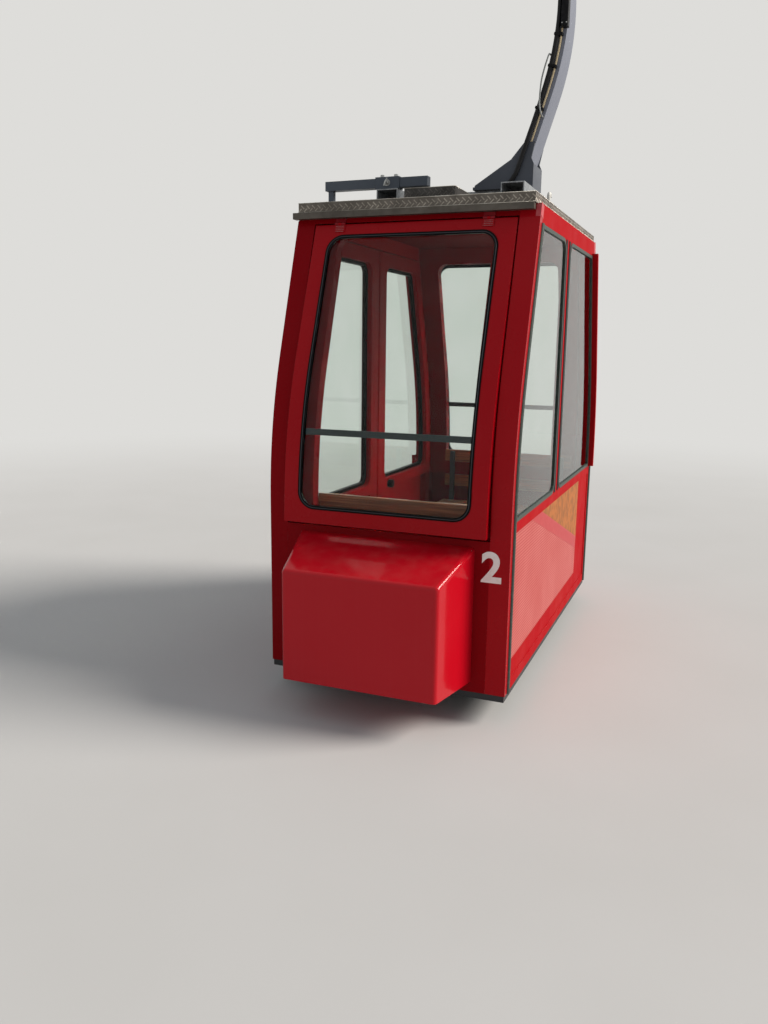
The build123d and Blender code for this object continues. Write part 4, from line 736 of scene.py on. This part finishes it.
# Ceiling and bench frames: painted steel. The ceiling is a dull red, painted darker than the body as painted
# shade, and the welded brackets of the benches are grey, rubbed where shoes reach them.
# Painted shade: the ceiling's red is darker than the body's red.
dress(enamel("ceiling_enamel", "#7C1418", "#8C2A2A", gloss=(0.6, 0.75), shine=0.02, coat=0.0),
      "ceiling_panel")
dress(enamel("grey_bracket_enamel", "#5A5E60", "#6C6E6E", gloss=(0.35, 0.5), coat=0.0), "bench_frames")

# Bench slats: planed pine boards under brown varnish, with round-headed bolts through them into the
# brackets. The varnish is half glossy and darker along the grain; what faces up is paler as painted sunlight.
GRAIN, PAINTED_SUNLIGHT = "#8C4E30", "#DCB496"
pine, place = new_finish("varnished_pine", IOR=1.5, Coat_Weight=0.35, Coat_Roughness=0.2)
lines = blotches(pine, place, 9, 0.40, 0.62, 1.0, 4.0, stretch=(40, 1, 1))
fine = blotches(pine, place, 2.2, 0.55, 0.75, 0.4, 2.0, stretch=(60, 1, 1))
shade = add_node(pine, "Mix", {0: lines, 6: "#C4744A", 7: GRAIN}, out=2, data_type="RGBA")
shade = add_node(pine, "Mix", {0: fine, 6: shade, 7: GRAIN}, out=2, data_type="RGBA")
# Painted sunlight: what faces up is mixed toward a pale tan.
facing = add_node(pine, "SeparateXYZ", {0: add_node(pine, "NewGeometry", out="Normal")}, out="Z")
facing = add_node(pine, "MapRange", {"Value": facing, "From Min": 0.5, "From Max": 0.9, "To Max": 0.5})
shade = add_node(pine, "Mix", {0: facing, 6: shade, 7: PAINTED_SUNLIGHT}, out=2, data_type="RGBA")
dull = add_node(pine, "MapRange", {"Value": lines, "To Min": 0.35, "To Max": 0.55})
dress(complete(pine, shade, dull, fine, 0.15), "bench_slats")
SLAT_DEPTH, SLAT_PITCH, SEAT_FRONT, SEAT_TOP = 0.095, 0.107, 0.692, BODY_LOW + 0.520
BRACKET_X = (-0.34, 0.44)
BACK_SLAT_Z = (BODY_LOW + 0.66, BODY_LOW + 0.84)
BACK_FACE = 0.123               # end face to the front of the back slats
SEAT_SLAT_Y = [SEAT_FRONT + slat * SLAT_PITCH + SLAT_DEPTH / 2 for slat in range(3)]
bolts = []
for side in (-1, 1):
    for x in BRACKET_X:
        bolts += [((x, side * y, SEAT_TOP), (0, 0, 1)) for y in SEAT_SLAT_Y]
        bolts += [((x, side * end_y(z, BACK_FACE), z), (0, -side, 0)) for z in BACK_SLAT_Z]
fasteners("slat_bolts", round_head(20 * MM, 5 * MM), bolts)

# Hanger: a box arm of welded plate, curved like a C, on a foot with two gusset plates. It wears a grey-blue
# enamel that has gone chalky, and the foot is darker from grease and soot.
dress(enamel("grey_blue_arm_enamel", "#787C88", "#8C9098", chip="#8A7A6A", gloss=(0.35, 0.5)),
      "hanger_arm", "hanger_hub")
dress(enamel("anthracite_enamel", "#50545C", "#666B72", chip="#8A7A6A", gloss=(0.35, 0.5)), "hanger_foot")

# Foot bolts: large zinc-plated hexagon bolts, each on a washer, go through the foot plate into the beams
# and the cross beam.
FOOT_TOP, FOOT_BOLTS = BODY_LOW + 2.475, ((0.12, 0.045), (0.20, 0.045), (0.378, 0.06))
bolts = [((x, side * y, FOOT_TOP), (0, 0, 1)) for x, y in FOOT_BOLTS for side in (-1, 1)]
fasteners("foot_bolts", hex_bolt(30 * MM, 19 * MM), bolts)

# Signal cables: a black sleeve with the signal cables climbs the near face of the arm, and a thin tan wire
# beside it ends in the junction box. Black saddle clips hold both to the arm.
CABLE_OFFSET, WIRE_OFFSET, WIRE_RADIUS = -12 * MM, 6 * MM, 5.5 * MM
WIRE_LOW, WIRE_HIGH, WIRE_SPANS = BODY_LOW + 2.67, BODY_LOW + 3.23, 18
CLIP_SIZE, CLIP_ROUND, CLIP_SUNK = (46 * MM, 30 * MM, 15 * MM), 4 * MM, 1 * MM
CLIP_HEIGHTS = [BODY_LOW + height for height in (2.85, 3.05, 3.20, 3.58, 3.82, 4.08)]
ARM_LEAN, ARM_BEND, ARM_CENTRE = radians(17.7), 1.420, (-0.891, BODY_LOW + 3.3574)
ARM_HALF_DEPTH = 95 * MM


def arm_at(height, offset):
    """Distance from the middle of a line beside the arm's centre line at a height, and its lean there."""
    rise, radius = height - ARM_CENTRE[1], ARM_BEND + offset
    limit = radius * sin(ARM_LEAN)
    if abs(rise) <= limit:
        return ARM_CENTRE[0] + sqrt(radius ** 2 - rise ** 2), -asin(rise / radius)
    slant = (abs(rise) - limit) * tan(ARM_LEAN)
    return ARM_CENTRE[0] + radius * cos(ARM_LEAN) - slant, ARM_LEAN * (1 if rise < 0 else -1)


dress(rubber("cable_sleeve_rubber", "#101012", "#262628", 0.4), "cable_bundle")
dress(rubber("light_grey_cable", "#8E918F", "#A8AAA6", 0.45), "cable_loop")
tan_jacket = rubber("tan_wire_jacket", "#CDBB98", "#A8987A", 0.35)
wire = [(arm_at(height, WIRE_OFFSET)[0], -ARM_HALF_DEPTH - WIRE_RADIUS, height)
        for height in heights(WIRE_LOW, WIRE_HIGH, WIRE_SPANS)]
finished(strip(wire, WIRE_RADIUS, closed=False), "signal_wire", tan_jacket, "cabin")
clips = []
for height in CLIP_HEIGHTS:
    x, lean = arm_at(height, (CABLE_OFFSET + WIRE_OFFSET) / 2 - 3 * MM)
    y = -ARM_HALF_DEPTH - CLIP_SIZE[1] / 2 + CLIP_SUNK
    clips.append(rounded_block((x, y, height), CLIP_SIZE, CLIP_ROUND, (0, lean, 0)))
finished(joined(clips), "cable_clips", black_plastic, "cabin")

# Junction box lid: a moulded plastic lid on the box beside the arm, screwed down at its corners with small
# round-headed screws.
LID_SHEET, LID_MARGIN, LID_ROUND, SCREW_MARGIN = 3 * MM, 2 * MM, 1 * MM, 7 * MM
box_low, box_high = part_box("junction_box")
box_size = box_high - box_low
middle = ((box_low.x + box_high.x) / 2, box_low.y - LID_SHEET / 2, (box_low.z + box_high.z) / 2)
lid = rounded_block(middle, (box_size.x - 2 * LID_MARGIN, LID_SHEET, box_size.z - 2 * LID_MARGIN), LID_ROUND)
finished(lid, "junction_box_lid", black_plastic, "cabin")
screws = [((x, box_low.y - LID_SHEET, z), (0, -1, 0))
          for x in (box_low.x + SCREW_MARGIN, box_high.x - SCREW_MARGIN)
          for z in (box_low.z + 2 * SCREW_MARGIN, box_high.z - 2 * SCREW_MARGIN)]
fasteners("junction_box_screws", round_head(7 * MM, 2.5 * MM), screws)

# Running carriage: two side plates carry the pivot shaft and a rocker at each end. They are flame-cut
# plate in anthracite enamel, streaked with grease from the wheels.
dress(enamel("greasy_plate_enamel", "#4C5056", "#36332F", chip="#7A6C5E", gloss=(0.3, 0.55), fading=0.6),
      "carriage_plates", "wheel_rockers", "carriage_spacers")

# Axles, pins and shaft: turned steel, oiled. Its turning marks go round it, and are drawn coarser than they
# are, so that they show.
oiled_steel, place = new_finish("oiled_steel", Metallic=1.0)
oil = blotches(oiled_steel, place, 28, 0.42, 0.70, 0.7, 6.0)
turning = blotches(oiled_steel, place, 1.4, 0.0, 1.0, detail=1.0, stretch=(1, 30, 30))
shade = add_node(oiled_steel, "Mix", {0: oil, 6: "#A2A4A6", 7: "#5C5248"}, out=2, data_type="RGBA")
dull = add_node(oiled_steel, "MapRange", {"Value": oil, "To Min": 0.28, "To Max": 0.5})
dress(complete(oiled_steel, shade, dull, turning, 0.03), "wheel_axles", "rocker_pins", "pivot_shaft")

# Carriage nuts: hexagon nuts on the rocker pins, bolts on the end spacers, and three bolts in each end of
# the pivot shaft, which hold its thrust plate.
PIN_END, SPACER_END = 94 * MM, 82 * MM
PIN_Y, PIN_Z, SPACER_Y, SPACER_Z = 0.3575, 0.2351, 0.715, 0.150
SHAFT_Z, SHAFT_BOLTS, BOLT_CIRCLE = 0.100, 3, 24 * MM
shaft_low, shaft_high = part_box("pivot_shaft")
nuts = [((face * PIN_END, side * PIN_Y, PIN_Z), (face, 0, 0)) for face in (-1, 1) for side in (-1, 1)]
fasteners("rocker_pin_nuts", hex_bolt(32 * MM, 18 * MM), nuts, "carriage")
bolts = [((face * SPACER_END, side * SPACER_Y, SPACER_Z), (face, 0, 0))
         for face in (-1, 1) for side in (-1, 1)]
fasteners("spacer_bolts", hex_bolt(24 * MM, 14 * MM), bolts, "carriage")
bolts = []
for x, facing in ((shaft_low.x, -1), (shaft_high.x, 1)):
    for turn in range(SHAFT_BOLTS):
        angle = pi / 2 + turn * 2 * pi / SHAFT_BOLTS
        bolts.append(((x, BOLT_CIRCLE * cos(angle), SHAFT_Z + BOLT_CIRCLE * sin(angle)), (facing, 0, 0)))
fasteners("shaft_bolts", hex_bolt(13 * MM, 8 * MM), bolts, "carriage")

# Wheels: cast iron, dark with grease, and polished bright in the bottom of the groove, on which they run.
# Each turns on its own axle.
TREAD_RADIUS, AXLE_Z = 0.130, 0.150


def groove_iron(name, along):
    """Cast iron wheel: rough and dark grey, with a bright polished ring in the bottom of the groove."""
    material, place = new_finish(name, Metallic=0.9)
    middle = add_node(material, "Mapping", {"Vector": place, "Location": (0, -along, -AXLE_Z)})
    squares = []
    for axis in ("Y", "Z"):
        along_axis = add_node(material, "SeparateXYZ", {0: middle}, out=axis)
        squares.append(add_node(material, "Math", {0: along_axis, 1: 2.0}, operation="POWER"))
    reach = add_node(material, "Math", {0: squares[0], 1: squares[1]}, operation="ADD")
    inner, full, outer = [(TREAD_RADIUS + shift) ** 2 for shift in (-3 * MM, -1 * MM, 10 * MM)]
    ring = add_node(material, "MapRange", {"Value": reach, "From Min": inner, "From Max": full})
    fade = add_node(material, "MapRange", {"Value": reach, "From Min": outer, "From Max": full})
    ring = add_node(material, "Math", {0: ring, 1: fade}, operation="MULTIPLY")
    grease = blotches(material, place, 30, 0.4, 0.7, 1.0, 6.0)
    iron = add_node(material, "Mix", {0: grease, 6: "#4B4A49", 7: "#2B2826"}, out=2, data_type="RGBA")
    shade = add_node(material, "Mix", {0: ring, 6: iron, 7: "#B9B9B7"}, out=2, data_type="RGBA")
    dull = add_node(material, "MapRange", {"Value": ring, "To Min": 0.55, "To Max": 0.22})
    return complete(material, shade, dull, blotches(material, place, 3, 0.0, 1.0), 0.25)


for number in (1, 2, 3, 4):
    wheel_low, wheel_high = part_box(f"wheel_{number}")
    dress(groove_iron(f"cast_wheel_iron_{number}", (wheel_low.y + wheel_high.y) / 2), f"wheel_{number}")

# Studio: a plain pale floor just below the hanging cabin, which runs out into the backdrop's own colour, a
# soft sun from the glazed side, and an even sky. The backdrop shows to the camera, in gloss and through
# panes, and all other light on the object comes from the sun and the sky.
FLOOR_SIZE, FLOOR_Z = 120, cad_box[0].z - 0.11
BACKDROP, FADE_START, FADE_END = "#DEDDDA", 4.0, 13.0


def shown(material):
    """1 for a ray from the camera or one that gloss or a pane passes on, else 0."""
    rays = [add_node(material, "LightPath", out=f"Is {kind} Ray")
            for kind in ("Camera", "Glossy", "Transmission")]
    seen = add_node(material, "Math", {0: rays[0], 1: rays[1]}, operation="MAXIMUM")
    return add_node(material, "Math", {0: seen, 1: rays[2]}, operation="MAXIMUM")


bpy.ops.mesh.primitive_plane_add(size=FLOOR_SIZE, location=(0, 0, FLOOR_Z))
floor = bpy.context.object
floor.name = "studio_floor"
bpy.ops.object.transform_apply(location=True, rotation=True, scale=True)
pale_floor, place = new_finish("pale_floor", Roughness=0.75)
clouds = blotches(pale_floor, place, 900, 0.0, 1.0)
shade = add_node(pale_floor, "Mix", {0: clouds, 6: "#C0C0BF", 7: "#B8B8B6"}, out=2, data_type="RGBA")
complete(pale_floor, shade)
level = add_node(pale_floor, "VectorMath", {0: place, 1: (1, 1, 0)}, operation="MULTIPLY")
reach = add_node(pale_floor, "VectorMath", {0: level}, out="Value", operation="LENGTH")
far = add_node(pale_floor, "MapRange", {"Value": reach, "From Min": FADE_START, "From Max": FADE_END},
               interpolation_type="SMOOTHSTEP")
far = add_node(pale_floor, "Math", {0: far, 1: shown(pale_floor)}, operation="MULTIPLY")
glow = add_node(pale_floor, "Emission", {"Color": BACKDROP, "Strength": 1.0})
shader = pale_floor.node_tree.nodes["Principled BSDF"].outputs["BSDF"]
mixed = add_node(pale_floor, "MixShader", {0: far, 1: shader, 2: glow})
pale_floor.node_tree.links.new(mixed, pale_floor.node_tree.nodes["Material Output"].inputs["Surface"])
floor.data.materials.append(pale_floor)

SUN_FROM, SUN_POWER, SUN_WIDTH = Vector((0.80, 0.28, 0.60)), 4.2, radians(26)
SKY_POWER = 0.50
bpy.ops.object.light_add(type="SUN", location=(6, 2, 3))
sun = bpy.context.object
sun.name = "soft_sun"
sun.data.energy, sun.data.angle, sun.data.color = SUN_POWER, SUN_WIDTH, linear("#FFF8F0")[:3]
sun.rotation_euler = SUN_FROM.to_track_quat("Z", "Y").to_euler()

even_sky = bpy.data.worlds.new("even_sky")
bpy.context.scene.world = even_sky
even_sky.use_nodes = True
sky = add_node(even_sky, "Background", {"Color": "#E6EAF0", "Strength": SKY_POWER})
backdrop = add_node(even_sky, "Background", {"Color": BACKDROP, "Strength": 1.0})
bounces = add_node(even_sky, "LightPath", out="Diffuse Depth")
direct = add_node(even_sky, "Math", {0: bounces, 1: 0.5}, operation="LESS_THAN")
seen = add_node(even_sky, "Math", {0: shown(even_sky), 1: direct}, operation="MULTIPLY")
mixed = add_node(even_sky, "MixShader", {0: seen, 1: sky, 2: backdrop})
even_sky.node_tree.links.new(mixed, even_sky.node_tree.nodes["World Output"].inputs["Surface"])
